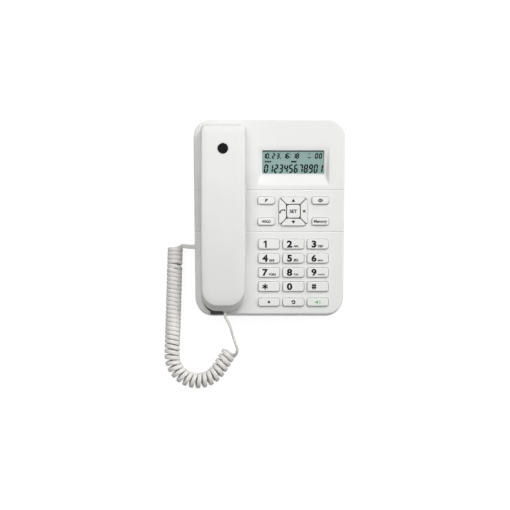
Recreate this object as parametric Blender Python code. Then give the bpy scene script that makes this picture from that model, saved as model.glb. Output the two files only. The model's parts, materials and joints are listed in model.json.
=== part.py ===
"""Corded desk telephone: base, keys, handset and coiled cord, each piece its own solid.

Metres, +Z up, +Y to the rear, origin on the table under the middle of the base.
Face coordinates (u, v, w) run across, up along and out of the sloping face.
"""
import math

import bmesh
import bpy
import numpy
from mathutils import Vector

MM = 0.001

# Clearances between neighbouring pieces
GAP = 0.3 * MM
KEY_GAP = 0.35 * MM
WELL_CLEARANCE = 1.2 * MM

# Keys and the layout across the face, from left to right
KEY_WIDTH = 21.2 * MM
KEY_LENGTH = 9.8 * MM
KEY_CORNER = 2.2 * MM
KEY_SPACING_U = 3.2 * MM
KEY_SPACING_V = 4.35 * MM
KEY_COLUMNS = 3
KEY_ROWS = 4
HANDSET_WIDTH = 44.8 * MM
LEFT_MARGIN = 6.65 * MM
MIDDLE_MARGIN = 12.45 * MM
RIGHT_MARGIN = 15.9 * MM

# Layout along the face, from front to rear
FRONT_MARGIN = 7.85 * MM
BOTTOM_KEY_LENGTH = 8.0 * MM
BOTTOM_ROW_GAP = 6.65 * MM
DIAL_TO_GROOVE = 7.6 * MM
GROOVE_TO_NAV = 6.2 * MM
NAV_SIZE = 28.6 * MM
NAV_TO_GROOVE = 6.9 * MM
GROOVE_TO_DISPLAY = 6.8 * MM
RECESS_LENGTH = 36.8 * MM
REAR_MARGIN = 27.1 * MM

# Base shell
FACE_TILT = math.radians(8.0)
FRONT_HEIGHT = 20.0 * MM
BASE_TAPER = 0.015
CORNER_RADIUS = 17.0 * MM
EDGE_ROUND = 1.5 * MM
WALL = 2.2 * MM
FLOOR = 2.0 * MM
SEAM_HEIGHT = 9.0 * MM
FOOT_HEIGHT = 2.0 * MM
FOOT_RADIUS = 6.0 * MM
FOOT_RECESS = 0.8 * MM
FOOT_INSET = 21.0 * MM
GROOVE_WIDTH = 1.1 * MM
GROOVE_DEPTH = 0.7 * MM

# Key stack, measured down from the face
KEY_PROUD = 2.2 * MM
KEY_BEVEL = 0.7 * MM
KEY_FLANGE = 1.0 * MM
KEY_SKIRT = 4.0 * MM
DOME_HEIGHT = 2.2 * MM
DOME_RADIUS = 3.0 * MM
MAT_THICKNESS = 1.0 * MM
MAT_MARGIN = 0.6 * MM
BOARD_THICKNESS = 1.6 * MM
BOARD_SETBACK = 22.0 * MM

# Function keys and the four-way pad
FUNCTION_KEY_WIDTH = 16.9 * MM
FUNCTION_KEY_LENGTH = 7.3 * MM
FUNCTION_ROW_STEP = 21.0 * MM
FUNCTION_TO_NAV = 4.3 * MM
NAV_CHAMFER = 3.2 * MM
NAV_GAP = 0.8 * MM
SET_SIZE = 13.1 * MM
SET_CORNER = 2.0 * MM

# Display
RECESS_WIDTH = 71.0 * MM
RECESS_LEDGE = 7.2 * MM
RECESS_DRAFT = 3.0 * MM
DISPLAY_LEAN = math.radians(10.0)
DISPLAY_WIDTH = 62.3 * MM
DISPLAY_LENGTH = 23.6 * MM
DISPLAY_TOP_MARGIN = 3.8 * MM
DISPLAY_FLOOR = 1.2 * MM
DISPLAY_CORNER = 1.2 * MM
DISPLAY_LAP = 1.6 * MM
WINDOW_SINK = 0.2 * MM
GLASS_THICKNESS = 2.8 * MM
HOLDER_THICKNESS = 1.5 * MM
DISPLAY_POCKET_DEPTH = 14.0 * MM

# Handset
HANDSET_FRONT_MARGIN = 3.8 * MM
HANDSET_REAR_MARGIN = 5.7 * MM
HANDSET_SEAM = 12.0 * MM
HANDSET_TOP = 25.0 * MM
HANDSET_ARCH = 4.0 * MM
HANDSET_FRONT_CORNER = 16.0 * MM
HANDSET_REAR_CORNER = 5.5 * MM
HANDSET_ROUND = 2.2 * MM
HANDSET_WALL = 2.0 * MM
HANDSET_DRAFT = 0.6 * MM
HANDSET_FRONT_SLOPE = 4.8 * MM
HANDSET_REAR_SLOPE = 2.5 * MM
HANDSET_NARROWING = 1.3 * MM
NARROWING_START = -10.0 * MM
UNDER_ROUND = 2.5 * MM
GRIP_UNDERSIDE = 8.0 * MM
END_UNDERSIDE = 1.0 * MM
GRIP_HALF = 31.0 * MM
GRIP_RAMP = 14.0 * MM
EAR_BUMP_WIDTH = 36.0 * MM
EAR_BUMP_LENGTH = 39.0 * MM
MIC_BUMP_WIDTH = 33.0 * MM
MIC_BUMP_LENGTH = 36.0 * MM
BUMP_CORNER = 10.0 * MM
BUMP_START = 5.0 * MM
WELL_DEPTH = 10.0 * MM
WELL_WALL = 1.8 * MM
NOTCH_WIDTH = 16.7 * MM
NOTCH_LENGTH = 6.5 * MM
NOTCH_DEPTH = 6.0 * MM
NOTCH_CORNER = 2.0 * MM
NOTCH_OFFSET = -6.1 * MM
BADGE_RADIUS = 5.1 * MM
BADGE_FROM_REAR = 25.2 * MM
BADGE_THICKNESS = 1.0 * MM
BADGE_SINK = 0.8 * MM
WEIGHT_WIDTH = 24.0 * MM
WEIGHT_THICKNESS = 6.0 * MM

# Hook switch
HOOK_TRAVEL = 3.0 * MM
HOOK_RADIUS = 3.2 * MM
HOOK_FLANGE_RADIUS = 6.5 * MM
HOOK_FLANGE_THICKNESS = 1.2 * MM
HOOK_STUB_RADIUS = 1.4 * MM
HOOK_FROM_MIDDLE = 12.0 * MM
SPRING_WIRE = 0.5 * MM
SPRING_RADIUS = 2.4 * MM
SPRING_TURNS = 2.5
SWITCH_SIZE = 6.0 * MM

# Screws and posts
SCREW_RADIUS = 1.5 * MM
SCREW_HEAD_RADIUS = 2.75 * MM
SCREW_HEAD = 1.8 * MM
SCREW_LENGTH = 12.0 * MM
SCREW_INSET = 9.6 * MM
POST_RADIUS = 3.6 * MM
BOARD_POST_RADIUS = 2.5 * MM
BOARD_PIN_RADIUS = 1.2 * MM
HANDSET_SCREW_LENGTH = 8.0 * MM

# Sockets, plugs and sound parts
JACK_WIDTH = 10.6 * MM
JACK_HEIGHT = 8.0 * MM
JACK_LENGTH = 13.0 * MM
JACK_CAVITY_WIDTH = 8.3 * MM
JACK_CAVITY_HEIGHT = 6.2 * MM
JACK_CAVITY_DEPTH = 10.5 * MM
LINE_JACK_WIDTH = 13.0 * MM
LINE_JACK_CAVITY_WIDTH = 10.0 * MM
LINE_JACK_X = 10.0 * MM
LINE_JACK_Z = 15.5 * MM
PLUG_PROUD = 2.7 * MM
BASE_JACK_Y = -27.4 * MM
BASE_JACK_Z = 15.0 * MM
HANDSET_JACK_OFFSET = 1.9 * MM
HANDSET_JACK_SINK = 0.9 * MM
SPEAKER_RADIUS = 20.0 * MM
SPEAKER_HEIGHT = 11.0 * MM
SPEAKER_SEAT = 0.2 * MM
SPEAKER_Y = 52.0 * MM
RECEIVER_RADIUS = 14.0 * MM
RECEIVER_HEIGHT = 8.0 * MM
CAPSULE_RADIUS = 5.0 * MM
CAPSULE_HEIGHT = 5.5 * MM
BASE_CAPSULE_RADIUS = 3.0 * MM
BASE_CAPSULE_LENGTH = 5.0 * MM
BASE_CAPSULE_X = 42.0 * MM
BASE_CAPSULE_Z = 13.0 * MM

# Coiled cord
CORD_DIAMETER = 3.0 * MM
COIL_RADIUS = 6.4 * MM
COIL_FROM_BASE = 20.5 * MM
COIL_AHEAD = 1.5 * MM
COIL_RUN = 110.5 * MM
COIL_LEAN = 2.2 * MM
COIL_BEND_RADIUS = 25.6 * MM
COIL_BEND_ANGLE = math.radians(147.5)
COIL_END_RUN = 19.5 * MM
COIL_TURNS = 40.5
COIL_TURNS_CLOSE = 23
COIL_TURNS_LOOSENING = 2
COIL_LOOSE_SHARE = 1.35
COIL_SLIP = 1.6 * MM
COIL_SLIP_TURN = 4.75
COIL_SLIP_SPAN = 0.15
POINTS_PER_CURL = 8
TABLE_CLEARANCE = 0.2 * MM

# Facets
CORNER_STEPS = 7
FILLET_STEPS = 4
KEY_STEPS = 2
WELL_STEPS = 5
HANDSET_CORNER_STEPS = 6
HANDSET_SIDE_POINTS = 14
ROUND_STEPS = 14
SMOOTH_ANGLE = math.radians(32)

# Sizes that follow from the layout
KEY_PITCH_U = KEY_WIDTH + KEY_SPACING_U
KEY_PITCH_V = KEY_LENGTH + KEY_SPACING_V
DIAL_WIDTH = KEY_COLUMNS * KEY_PITCH_U - KEY_SPACING_U
DIAL_LENGTH = KEY_ROWS * KEY_PITCH_V - KEY_SPACING_V
BASE_WIDTH = LEFT_MARGIN + HANDSET_WIDTH + MIDDLE_MARGIN + DIAL_WIDTH + RIGHT_MARGIN
DIAL_FRONT = FRONT_MARGIN + BOTTOM_KEY_LENGTH + BOTTOM_ROW_GAP
LOWER_GROOVE = DIAL_FRONT + DIAL_LENGTH + DIAL_TO_GROOVE
UPPER_GROOVE = LOWER_GROOVE + GROOVE_TO_NAV + NAV_SIZE + NAV_TO_GROOVE
RECESS_REAR = UPPER_GROOVE + GROOVE_TO_DISPLAY + RECESS_LENGTH
FACE_LENGTH = RECESS_REAR + REAR_MARGIN
FACE_FRONT_V = -FACE_LENGTH / 2
BASE_LENGTH = FACE_LENGTH * math.cos(FACE_TILT)
FACE_MIDDLE_HEIGHT = FRONT_HEIGHT + BASE_LENGTH / 2 * math.tan(FACE_TILT)

PANEL_U = BASE_WIDTH / 2 - RIGHT_MARGIN - DIAL_WIDTH / 2
BOTTOM_ROW_V = FACE_FRONT_V + FRONT_MARGIN + BOTTOM_KEY_LENGTH / 2
FIRST_ROW_V = FACE_FRONT_V + DIAL_FRONT + DIAL_LENGTH - KEY_LENGTH / 2
NAV_V = FACE_FRONT_V + LOWER_GROOVE + GROOVE_TO_NAV + NAV_SIZE / 2
RECESS_REAR_V = FACE_FRONT_V + RECESS_REAR
FUNCTION_U = NAV_SIZE / 2 + FUNCTION_TO_NAV + FUNCTION_KEY_WIDTH / 2

SKIRT_TOP = -WALL - GAP
SKIRT_BOTTOM = SKIRT_TOP - KEY_SKIRT
DOME_TOP = SKIRT_BOTTOM - GAP
MAT_TOP = DOME_TOP - DOME_HEIGHT
MAT_BOTTOM = MAT_TOP - MAT_THICKNESS
BOARD_TOP = MAT_BOTTOM - GAP
BOARD_BOTTOM = BOARD_TOP - BOARD_THICKNESS

RECESS_FLOOR_LENGTH = RECESS_LENGTH - RECESS_LEDGE
RECESS_DEPTH = RECESS_FLOOR_LENGTH * math.tan(DISPLAY_LEAN)

HANDSET_LENGTH = FACE_LENGTH - HANDSET_FRONT_MARGIN - HANDSET_REAR_MARGIN
HANDSET_U = -BASE_WIDTH / 2 + LEFT_MARGIN + HANDSET_WIDTH / 2
HANDSET_V = (HANDSET_FRONT_MARGIN - HANDSET_REAR_MARGIN) / 2
BUMP_BOTTOM = -WELL_DEPTH + GAP
BUMP_OFFSET = GRIP_HALF + GRIP_RAMP + BUMP_START
EAR_B = BUMP_OFFSET + EAR_BUMP_LENGTH / 2
MIC_B = -BUMP_OFFSET - MIC_BUMP_LENGTH / 2
BADGE_B = HANDSET_LENGTH / 2 - BADGE_FROM_REAR
HANDSET_SCREW_B = GRIP_HALF - 5.0 * MM
HANDSET_JACK_C = END_UNDERSIDE + HANDSET_WALL + GAP + JACK_HEIGHT / 2

SCREW_X = BASE_WIDTH / 2 - SCREW_INSET
SCREW_Y = BASE_LENGTH / 2 - SCREW_INSET
CORNERS = [(x, y) for x in (-1, 1) for y in (-1, 1)]
FLOOR_TOP = FOOT_HEIGHT + FLOOR
SCREW_HEAD_SEAT = FLOOR_TOP + 0.5 * MM
HOLE_RADIUS = SCREW_RADIUS + GAP

MAT_LEFT = PANEL_U - DIAL_WIDTH / 2 - KEY_FLANGE - MAT_MARGIN
MAT_RIGHT = PANEL_U + DIAL_WIDTH / 2 + KEY_FLANGE + MAT_MARGIN
MAT_FRONT = BOTTOM_ROW_V - BOTTOM_KEY_LENGTH / 2 - KEY_FLANGE
MAT_REAR = NAV_V + NAV_SIZE / 2 + KEY_FLANGE + MAT_MARGIN
BOARD_LEFT = -BASE_WIDTH / 2 + WALL + JACK_LENGTH + 3.0 * MM
BOARD_RIGHT = MAT_RIGHT + 2 * BOARD_POST_RADIUS + 1.0 * MM
BOARD_REAR = MAT_REAR + 2.0 * MM
BOARD_MIDDLE = MAT_LEFT - 2 * BOARD_POST_RADIUS - 2.0 * MM
TONGUE_FRONT = HANDSET_V - BUMP_OFFSET + WELL_CLEARANCE + WELL_WALL + 3.0 * MM
RIGHT_FRONT = MAT_FRONT + BOARD_SETBACK
BOARD_POSTS = [
    (MAT_LEFT - BOARD_POST_RADIUS - GAP, MAT_FRONT + 6.0 * MM),
    (MAT_RIGHT + BOARD_POST_RADIUS + GAP, RIGHT_FRONT + 6.0 * MM),
    (MAT_RIGHT + BOARD_POST_RADIUS + GAP, BOARD_REAR - 6.0 * MM),
    (BOARD_LEFT + 4.0 * MM, BOARD_REAR - 4.0 * MM),
]


def clear_scene():
    """Remove every object of the start-up scene."""
    for item in list(bpy.data.objects):
        bpy.data.objects.remove(item, do_unlink=True)


def make_look(name, color, roughness, metallic=0.0, transmission=0.0):
    """A Principled material."""
    look = bpy.data.materials.new(name)
    look.use_nodes = True
    shader = look.node_tree.nodes["Principled BSDF"]
    shader.inputs["Base Color"].default_value = (*color, 1.0)
    shader.inputs["Roughness"].default_value = roughness
    shader.inputs["Metallic"].default_value = metallic
    shader.inputs["Transmission Weight"].default_value = transmission
    return look


def make_frame(name, location, tilt, parent=None):
    """An empty that carries pieces in its own tilted coordinates."""
    frame = bpy.data.objects.new(name, None)
    bpy.context.scene.collection.objects.link(frame)
    frame.parent = parent
    frame.location = location
    frame.rotation_euler = (tilt, 0, 0)
    return frame


def add_object(name, bm, look=None, parent=None, location=(0, 0, 0), turn=0.0):
    """Turn a bmesh into a named object with outward normals."""
    bmesh.ops.recalc_face_normals(bm, faces=bm.faces)
    mesh = bpy.data.meshes.new(name)
    bm.to_mesh(mesh)
    bm.free()
    mesh.shade_smooth()
    mesh.set_sharp_from_angle(angle=SMOOTH_ANGLE)
    if look:
        mesh.materials.append(look)
    item = bpy.data.objects.new(name, mesh)
    bpy.context.scene.collection.objects.link(item)
    item.parent = parent
    item.location = location
    item.rotation_euler = (0, 0, turn)
    return item


def combine(item, operation, name, bm, parent=None, location=(0, 0, 0), turn=0.0):
    """Join a hidden tool solid to an object, or cut it away."""
    tool = add_object(f"{name}_tool", bm, None, parent, location, turn)
    tool.hide_render = True
    tool.display_type = "WIRE"
    step = item.modifiers.new(name, "BOOLEAN")
    step.operation = operation
    step.solver = "EXACT"
    step.object = tool


def rounded_plan(width, length, front_radius, rear_radius, steps, side_points=0):
    """Outline from the front, up the right side and down the left side."""
    right = []
    for start, sign, radius in ((-90, -1, front_radius), (0, 1, rear_radius)):
        for k in range(steps + 1):
            angle = math.radians(start + 90 * k / steps)
            x = width / 2 - radius + radius * math.cos(angle)
            y = sign * (length / 2 - radius) + radius * math.sin(angle)
            right.append((x, y))
        if sign < 0:
            straight = length - front_radius - rear_radius
            for k in range(1, side_points + 1):
                y = front_radius - length / 2 + straight * k / (side_points + 1)
                right.append((width / 2, y))
    return right + [(-x, y) for x, y in reversed(right)]


def rounded_rectangle(width, length, radius, steps):
    return rounded_plan(width, length, radius, radius, steps)


def rectangle(left, right, front, rear):
    return [(right, front), (right, rear), (left, rear), (left, front)]


def circle(radius, steps=ROUND_STEPS, centre=(0, 0)):
    angles = [2 * math.pi * k / steps for k in range(steps)]
    return [(centre[0] + radius * math.cos(a), centre[1] + radius * math.sin(a)) for a in angles]


def moved(outline, x, y):
    return [(px + x, py + y) for px, py in outline]


def at_height(outline, height):
    return [Vector((x, y, height)) for x, y in outline]


def add_loft(bm, rings, ladder=False):
    """Close a stack of equal rings; ladder caps suit ends that bend along y."""
    rows = [[bm.verts.new(point) for point in ring] for ring in rings]
    for low, high in zip(rows, rows[1:]):
        for k in range(len(low)):
            bm.faces.new((low[k - 1], low[k], high[k], high[k - 1]))
    for row in (rows[0], rows[-1]):
        if ladder:
            for k in range(len(row) // 2 - 1):
                bm.faces.new((row[k], row[k + 1], row[-2 - k], row[-1 - k]))
        else:
            bm.faces.new(row)


def add_prism(bm, outline, low, high):
    add_loft(bm, [at_height(outline, low), at_height(outline, high)])


def add_turned(bm, profile, steps=ROUND_STEPS, centre=(0, 0)):
    """A turned solid from (radius, height) pairs, bottom to top."""
    add_loft(bm, [at_height(circle(radius, steps, centre), height) for radius, height in profile])


def add_hull(bm, points):
    """The convex solid around a set of points."""
    corners = [bm.verts.new(point) for point in points]
    bmesh.ops.convex_hull(bm, input=corners)


def prisms(outlines, low, high):
    """Several separate prisms in one bmesh."""
    bm = bmesh.new()
    for outline in outlines:
        add_prism(bm, outline, low, high)
    return bm


def face_height(y):
    """Height of the sloping face above the table."""
    return FACE_MIDDLE_HEIGHT + y * math.tan(FACE_TILT)


def from_face(u, v, w):
    """World point of face coordinates."""
    y = v * math.cos(FACE_TILT) - w * math.sin(FACE_TILT)
    z = v * math.sin(FACE_TILT) + w * math.cos(FACE_TILT)
    return Vector((u, y, FACE_MIDDLE_HEIGHT + z))


def side_at(y):
    """Distance of the base's side wall from the middle plane."""
    return BASE_WIDTH / 2 * (1 + BASE_TAPER * y / (BASE_LENGTH / 2))


def base_outline(inset):
    """Plan outline of the base, a little wider at the rear."""
    outline = rounded_rectangle(
        BASE_WIDTH - 2 * inset, BASE_LENGTH - 2 * inset, CORNER_RADIUS - inset, CORNER_STEPS
    )
    return [(x * (1 + BASE_TAPER * y / (BASE_LENGTH / 2)), y) for x, y in outline]


def ear_well(grow):
    """Outline of the ear-end cradle well in face coordinates."""
    size = 2 * (WELL_CLEARANCE + grow)
    radius = BUMP_CORNER + WELL_CLEARANCE + grow
    outline = rounded_rectangle(EAR_BUMP_WIDTH + size, EAR_BUMP_LENGTH + size, radius, WELL_STEPS)
    return moved(outline, HANDSET_U, HANDSET_V + EAR_B)


def mic_well(grow):
    """Outline of the mouth-end cradle well in face coordinates."""
    size = 2 * (WELL_CLEARANCE + grow)
    radius = BUMP_CORNER + WELL_CLEARANCE + grow
    outline = rounded_rectangle(MIC_BUMP_WIDTH + size, MIC_BUMP_LENGTH + size, radius, WELL_STEPS)
    return moved(outline, HANDSET_U, HANDSET_V + MIC_B)


def cord_notch(grow, front):
    """Outline of the notch for the cord in the front rim, from a front line to its rear end."""
    rear = FACE_FRONT_V + NOTCH_LENGTH + grow
    width = NOTCH_WIDTH + 2 * grow
    outline = rounded_plan(width, rear - front, NOTCH_CORNER, NOTCH_CORNER + grow, KEY_STEPS)
    return moved(outline, HANDSET_U + NOTCH_OFFSET, (front + rear) / 2)


def recess_solid(grow, low):
    """Wedge of the display recess, grown on every side for the tub around it."""
    half = RECESS_WIDTH / 2 + grow
    front = RECESS_REAR_V - RECESS_LENGTH - grow
    rear = RECESS_REAR_V + grow
    deep_v = RECESS_REAR_V - RECESS_FLOOR_LENGTH
    top = low + 1.0 * MM if grow == 0 else low
    points = []
    for side in (-1, 1):
        u = PANEL_U + side * half
        for w in (low, top):
            points += [(u, front, w), (u, rear, w)]
        deep_u = PANEL_U + side * (half - RECESS_DRAFT)
        points += [(deep_u, deep_v - grow, -RECESS_DEPTH - grow)]
        points += [(deep_u, deep_v + grow, -RECESS_DEPTH - grow)]
        points += [(u, rear, low - grow)]
    bm = bmesh.new()
    add_hull(bm, sorted(set(points)))
    return bm


def groove_solid(v):
    """Thin U-shaped band that cuts one groove over the face and down both sides."""
    side = side_at(v * math.cos(FACE_TILT))
    bottom = (SEAM_HEIGHT - face_height(v)) * 0.99
    arc = [math.radians(90 * k / FILLET_STEPS) for k in range(FILLET_STEPS + 1)]

    def half_path(offset):
        radius = EDGE_ROUND + offset
        bend = [
            (side - EDGE_ROUND + radius * math.cos(a), radius * math.sin(a) - EDGE_ROUND) for a in arc
        ]
        return [(side + offset, bottom)] + bend

    outer = half_path(GROOVE_DEPTH)
    inner = half_path(-GROOVE_DEPTH)
    path = outer + [(-u, w) for u, w in reversed(outer)]
    back = inner + [(-u, w) for u, w in reversed(inner)]
    bm = bmesh.new()
    rows = []
    for offset in (-GROOVE_WIDTH / 2, GROOVE_WIDTH / 2):
        rows.append(
            [
                [bm.verts.new((u, v + offset, w)) for u, w in path],
                [bm.verts.new((u, v + offset, w)) for u, w in back],
            ]
        )
    (outer_a, inner_a), (outer_b, inner_b) = rows
    for k in range(len(path) - 1):
        bm.faces.new((outer_a[k], outer_a[k + 1], outer_b[k + 1], outer_b[k]))
        bm.faces.new((inner_a[k], inner_b[k], inner_b[k + 1], inner_a[k + 1]))
        bm.faces.new((outer_a[k], inner_a[k], inner_a[k + 1], outer_a[k + 1]))
        bm.faces.new((outer_b[k], outer_b[k + 1], inner_b[k + 1], inner_b[k]))
    for k in (0, -1):
        bm.faces.new((outer_a[k], outer_b[k], inner_b[k], inner_a[k]))
    return bm


def key_outline(width, length, corner, grow=0.0):
    radius = max(corner + grow, 0.5 * MM)
    return rounded_rectangle(width + 2 * grow, length + 2 * grow, radius, KEY_STEPS)


def nav_outline(grow):
    """Square opening of the four-way pad with its corners cut off."""
    half = NAV_SIZE / 2 + grow
    cut = half - NAV_CHAMFER + grow * (math.sqrt(2) - 1) - grow
    right = [(cut, -half), (half, -cut), (half, cut), (cut, half)]
    return right + [(-x, y) for x, y in reversed(right)]


def arrow_outline(grow, outward):
    """Outline of the rear arrow key; outward moves only its outer edges."""
    inner = SET_SIZE / 2 + NAV_GAP - grow
    outer = NAV_SIZE / 2 + grow + outward
    gap = NAV_GAP / math.sqrt(2) - grow * math.sqrt(2)
    corner_sum = NAV_SIZE - NAV_CHAMFER + (grow + outward) * math.sqrt(2)
    right = [
        (inner - gap, inner),
        ((corner_sum - gap) / 2, (corner_sum + gap) / 2),
        (corner_sum - outer, outer),
    ]
    return right + [(-x, y) for x, y in reversed(right)]


def make_key(name, look, face, u, v, outline, flange, turn=0.0):
    """One key: skirt under the cover, body through it and a bevelled top."""
    bm = bmesh.new()
    rings = [
        at_height(flange, SKIRT_BOTTOM),
        at_height(flange, SKIRT_TOP),
        at_height(outline(0.0), SKIRT_TOP),
        at_height(outline(0.0), KEY_PROUD - KEY_BEVEL),
        at_height(outline(-KEY_BEVEL), KEY_PROUD),
    ]
    add_loft(bm, rings)
    add_object(name, bm, look, face, (u, v, 0), turn)


def box_ring(y, width, height):
    x = width / 2
    z = height / 2
    return [Vector((x, y, -z)), Vector((x, y, z)), Vector((-x, y, z)), Vector((-x, y, -z))]


def make_jack(name, look, width, cavity_width, place):
    """A socket block whose mouth is at y = 0 and faces +y."""
    bm = bmesh.new()
    add_loft(
        bm,
        [
            box_ring(-JACK_LENGTH, width, JACK_HEIGHT),
            box_ring(0, width, JACK_HEIGHT),
            box_ring(0, cavity_width, JACK_CAVITY_HEIGHT),
            box_ring(-JACK_CAVITY_DEPTH, cavity_width, JACK_CAVITY_HEIGHT),
        ],
    )
    return add_object(name, bm, look, **place)


def make_plug(name, look, place):
    """A modular plug that fills a socket and stands a little out of it."""
    width = JACK_CAVITY_WIDTH - 2 * GAP
    height = JACK_CAVITY_HEIGHT - 2 * GAP
    nose = 1.0 * MM
    bm = bmesh.new()
    add_loft(
        bm,
        [
            box_ring(-JACK_CAVITY_DEPTH + GAP, width - nose, height - nose),
            box_ring(-JACK_CAVITY_DEPTH + GAP + nose, width, height),
            box_ring(PLUG_PROUD - nose, width, height),
            box_ring(PLUG_PROUD, width - nose, height - nose),
        ],
    )
    return add_object(name, bm, look, **place)


def jack_hole(width):
    """Cutter for the wall around a socket's mouth."""
    bm = bmesh.new()
    reach = 6.0 * MM
    grown = width + 2 * GAP
    tall = JACK_HEIGHT + 2 * GAP
    add_loft(bm, [box_ring(-reach, grown, tall), box_ring(reach, grown, tall)])
    return bm


def make_screw(name, look, length, parent, location):
    """A pan-head screw that points up from its head."""
    bm = bmesh.new()
    tip = 1.5 * MM
    add_turned(
        bm,
        [
            (SCREW_HEAD_RADIUS * 0.7, 0),
            (SCREW_HEAD_RADIUS, SCREW_HEAD * 0.45),
            (SCREW_HEAD_RADIUS, SCREW_HEAD),
            (SCREW_RADIUS, SCREW_HEAD),
            (SCREW_RADIUS, SCREW_HEAD + length - tip),
            (SCREW_RADIUS * 0.3, SCREW_HEAD + length),
        ],
        12,
    )
    add_object(name, bm, look, parent, location)


def base_jack_place():
    """Place of the handset-cord socket in the left wall, mouth to the left."""
    mouth = -side_at(BASE_JACK_Y) + GAP
    return {"location": (mouth, BASE_JACK_Y, BASE_JACK_Z), "turn": math.pi / 2}


def line_jack_place():
    """Place of the line socket in the rear wall."""
    return {"location": (LINE_JACK_X, BASE_LENGTH / 2 - GAP, LINE_JACK_Z)}


def handset_jack_place(handset):
    """Place of the socket in the handset's mouth end."""
    mouth = -HANDSET_LENGTH / 2 + HANDSET_JACK_SINK + GAP
    place = (HANDSET_JACK_OFFSET, mouth, HANDSET_JACK_C)
    return {"parent": handset, "location": place, "turn": math.pi}


def build_top_cover(look, face):
    """Upper shell of the base with its wells, recess, posts and openings."""
    rings = []
    for k in range(FILLET_STEPS, -1, -1):
        angle = math.radians(90 * k / FILLET_STEPS)
        drop = EDGE_ROUND * (1 - math.sin(angle))
        outline = base_outline(EDGE_ROUND * (1 - math.cos(angle)))
        rings.append([Vector((x, y, face_height(y) - drop)) for x, y in outline])
    rim = SEAM_HEIGHT + GAP / 2
    ceiling = WALL / math.cos(FACE_TILT)
    inside = base_outline(WALL)
    rings.append(at_height(base_outline(0), rim))
    rings.append(at_height(inside, rim))
    rings.append([Vector((x, y, face_height(y) - ceiling)) for x, y in inside])
    bm = bmesh.new()
    add_loft(bm, rings)
    cover = add_object("base_top_cover", bm, look)

    # Tubs and posts under the face
    tub_top = -0.7 * WALL
    tub_bottom = -WELL_DEPTH - WELL_WALL
    tubs = prisms([ear_well(WELL_WALL), mic_well(WELL_WALL)], tub_bottom, tub_top)
    combine(cover, "UNION", "well_tubs", tubs, face)
    tub = cord_notch(WELL_WALL, FACE_FRONT_V + 0.4 * WALL)
    tub = prisms([tub], -NOTCH_DEPTH - WELL_WALL, tub_top)
    combine(cover, "UNION", "notch_tub", tub, face)
    combine(cover, "UNION", "recess_tub", recess_solid(DISPLAY_FLOOR, -WALL / 2), face)
    posts = bmesh.new()
    for x, y in CORNERS:
        place = (x * SCREW_X, y * SCREW_Y)
        top = face_height(place[1]) - ceiling / 2
        add_prism(posts, circle(POST_RADIUS, 12, place), rim, top)
    combine(cover, "UNION", "screw_posts", posts)
    pins = bmesh.new()
    for post in BOARD_POSTS:
        profile = [
            (BOARD_PIN_RADIUS, BOARD_BOTTOM - 0.8 * MM),
            (BOARD_PIN_RADIUS, BOARD_TOP + GAP),
            (BOARD_POST_RADIUS, BOARD_TOP + GAP),
            (BOARD_POST_RADIUS, -WALL / 2),
        ]
        add_turned(pins, profile, 8, post)
    combine(cover, "UNION", "board_posts", pins, face)

    # Openings in the face
    wells = prisms([ear_well(0), mic_well(0)], -WELL_DEPTH, 2 * WALL)
    combine(cover, "DIFFERENCE", "wells", wells, face)
    notch = prisms([cord_notch(0, FACE_FRONT_V - 3 * WALL)], -NOTCH_DEPTH, 2 * WALL)
    combine(cover, "DIFFERENCE", "notch", notch, face)
    combine(cover, "DIFFERENCE", "recess", recess_solid(0, 0), face)
    openings = []
    for u, v, width, length in KEY_PLACES.values():
        openings.append(moved(key_outline(width, length, KEY_CORNER, KEY_GAP), u, v))
    openings.append(moved(nav_outline(KEY_GAP), PANEL_U, NAV_V))
    openings.append(circle(HOOK_RADIUS + GAP, 12, (HANDSET_U, HANDSET_V + HOOK_FROM_MIDDLE)))
    combine(cover, "DIFFERENCE", "key_openings", prisms(openings, -2 * WALL, WALL), face)
    for name, place in (("lower_groove", LOWER_GROOVE), ("upper_groove", UPPER_GROOVE)):
        combine(cover, "DIFFERENCE", name, groove_solid(FACE_FRONT_V + place), face)

    # Display opening and the pocket behind it
    display = bpy.data.objects["display_frame"]
    middle = -DISPLAY_TOP_MARGIN - DISPLAY_LENGTH / 2
    window = moved(display_opening(0.0), 0, middle)
    window = prisms([window], -2 * DISPLAY_FLOOR, 2 * DISPLAY_FLOOR)
    combine(cover, "DIFFERENCE", "display_opening", window, display)
    pocket = moved(display_plate(DISPLAY_LAP + GAP), 0, middle)
    pocket = prisms([pocket], -DISPLAY_POCKET_DEPTH, -DISPLAY_FLOOR)
    combine(cover, "DIFFERENCE", "display_pocket", pocket, display)

    # Holes for screws, sockets and the hands-free microphone
    holes = bmesh.new()
    for x, y in CORNERS:
        hole = circle(HOLE_RADIUS, 8, (x * SCREW_X, y * SCREW_Y))
        add_prism(holes, hole, 0, SCREW_HEAD_SEAT + SCREW_LENGTH + GAP)
    combine(cover, "DIFFERENCE", "pilot_holes", holes)
    combine(cover, "DIFFERENCE", "base_jack_hole", jack_hole(JACK_WIDTH), **base_jack_place())
    combine(cover, "DIFFERENCE", "line_jack_hole", jack_hole(LINE_JACK_WIDTH), **line_jack_place())
    sound = bmesh.new()
    reach = 2 * WALL
    add_loft(sound, [box_ring(-reach, 1.6 * MM, 1.6 * MM), box_ring(reach, 1.6 * MM, 1.6 * MM)])
    place = (BASE_CAPSULE_X, -BASE_LENGTH / 2, BASE_CAPSULE_Z)
    combine(cover, "DIFFERENCE", "microphone_hole", sound, None, place)


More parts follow.
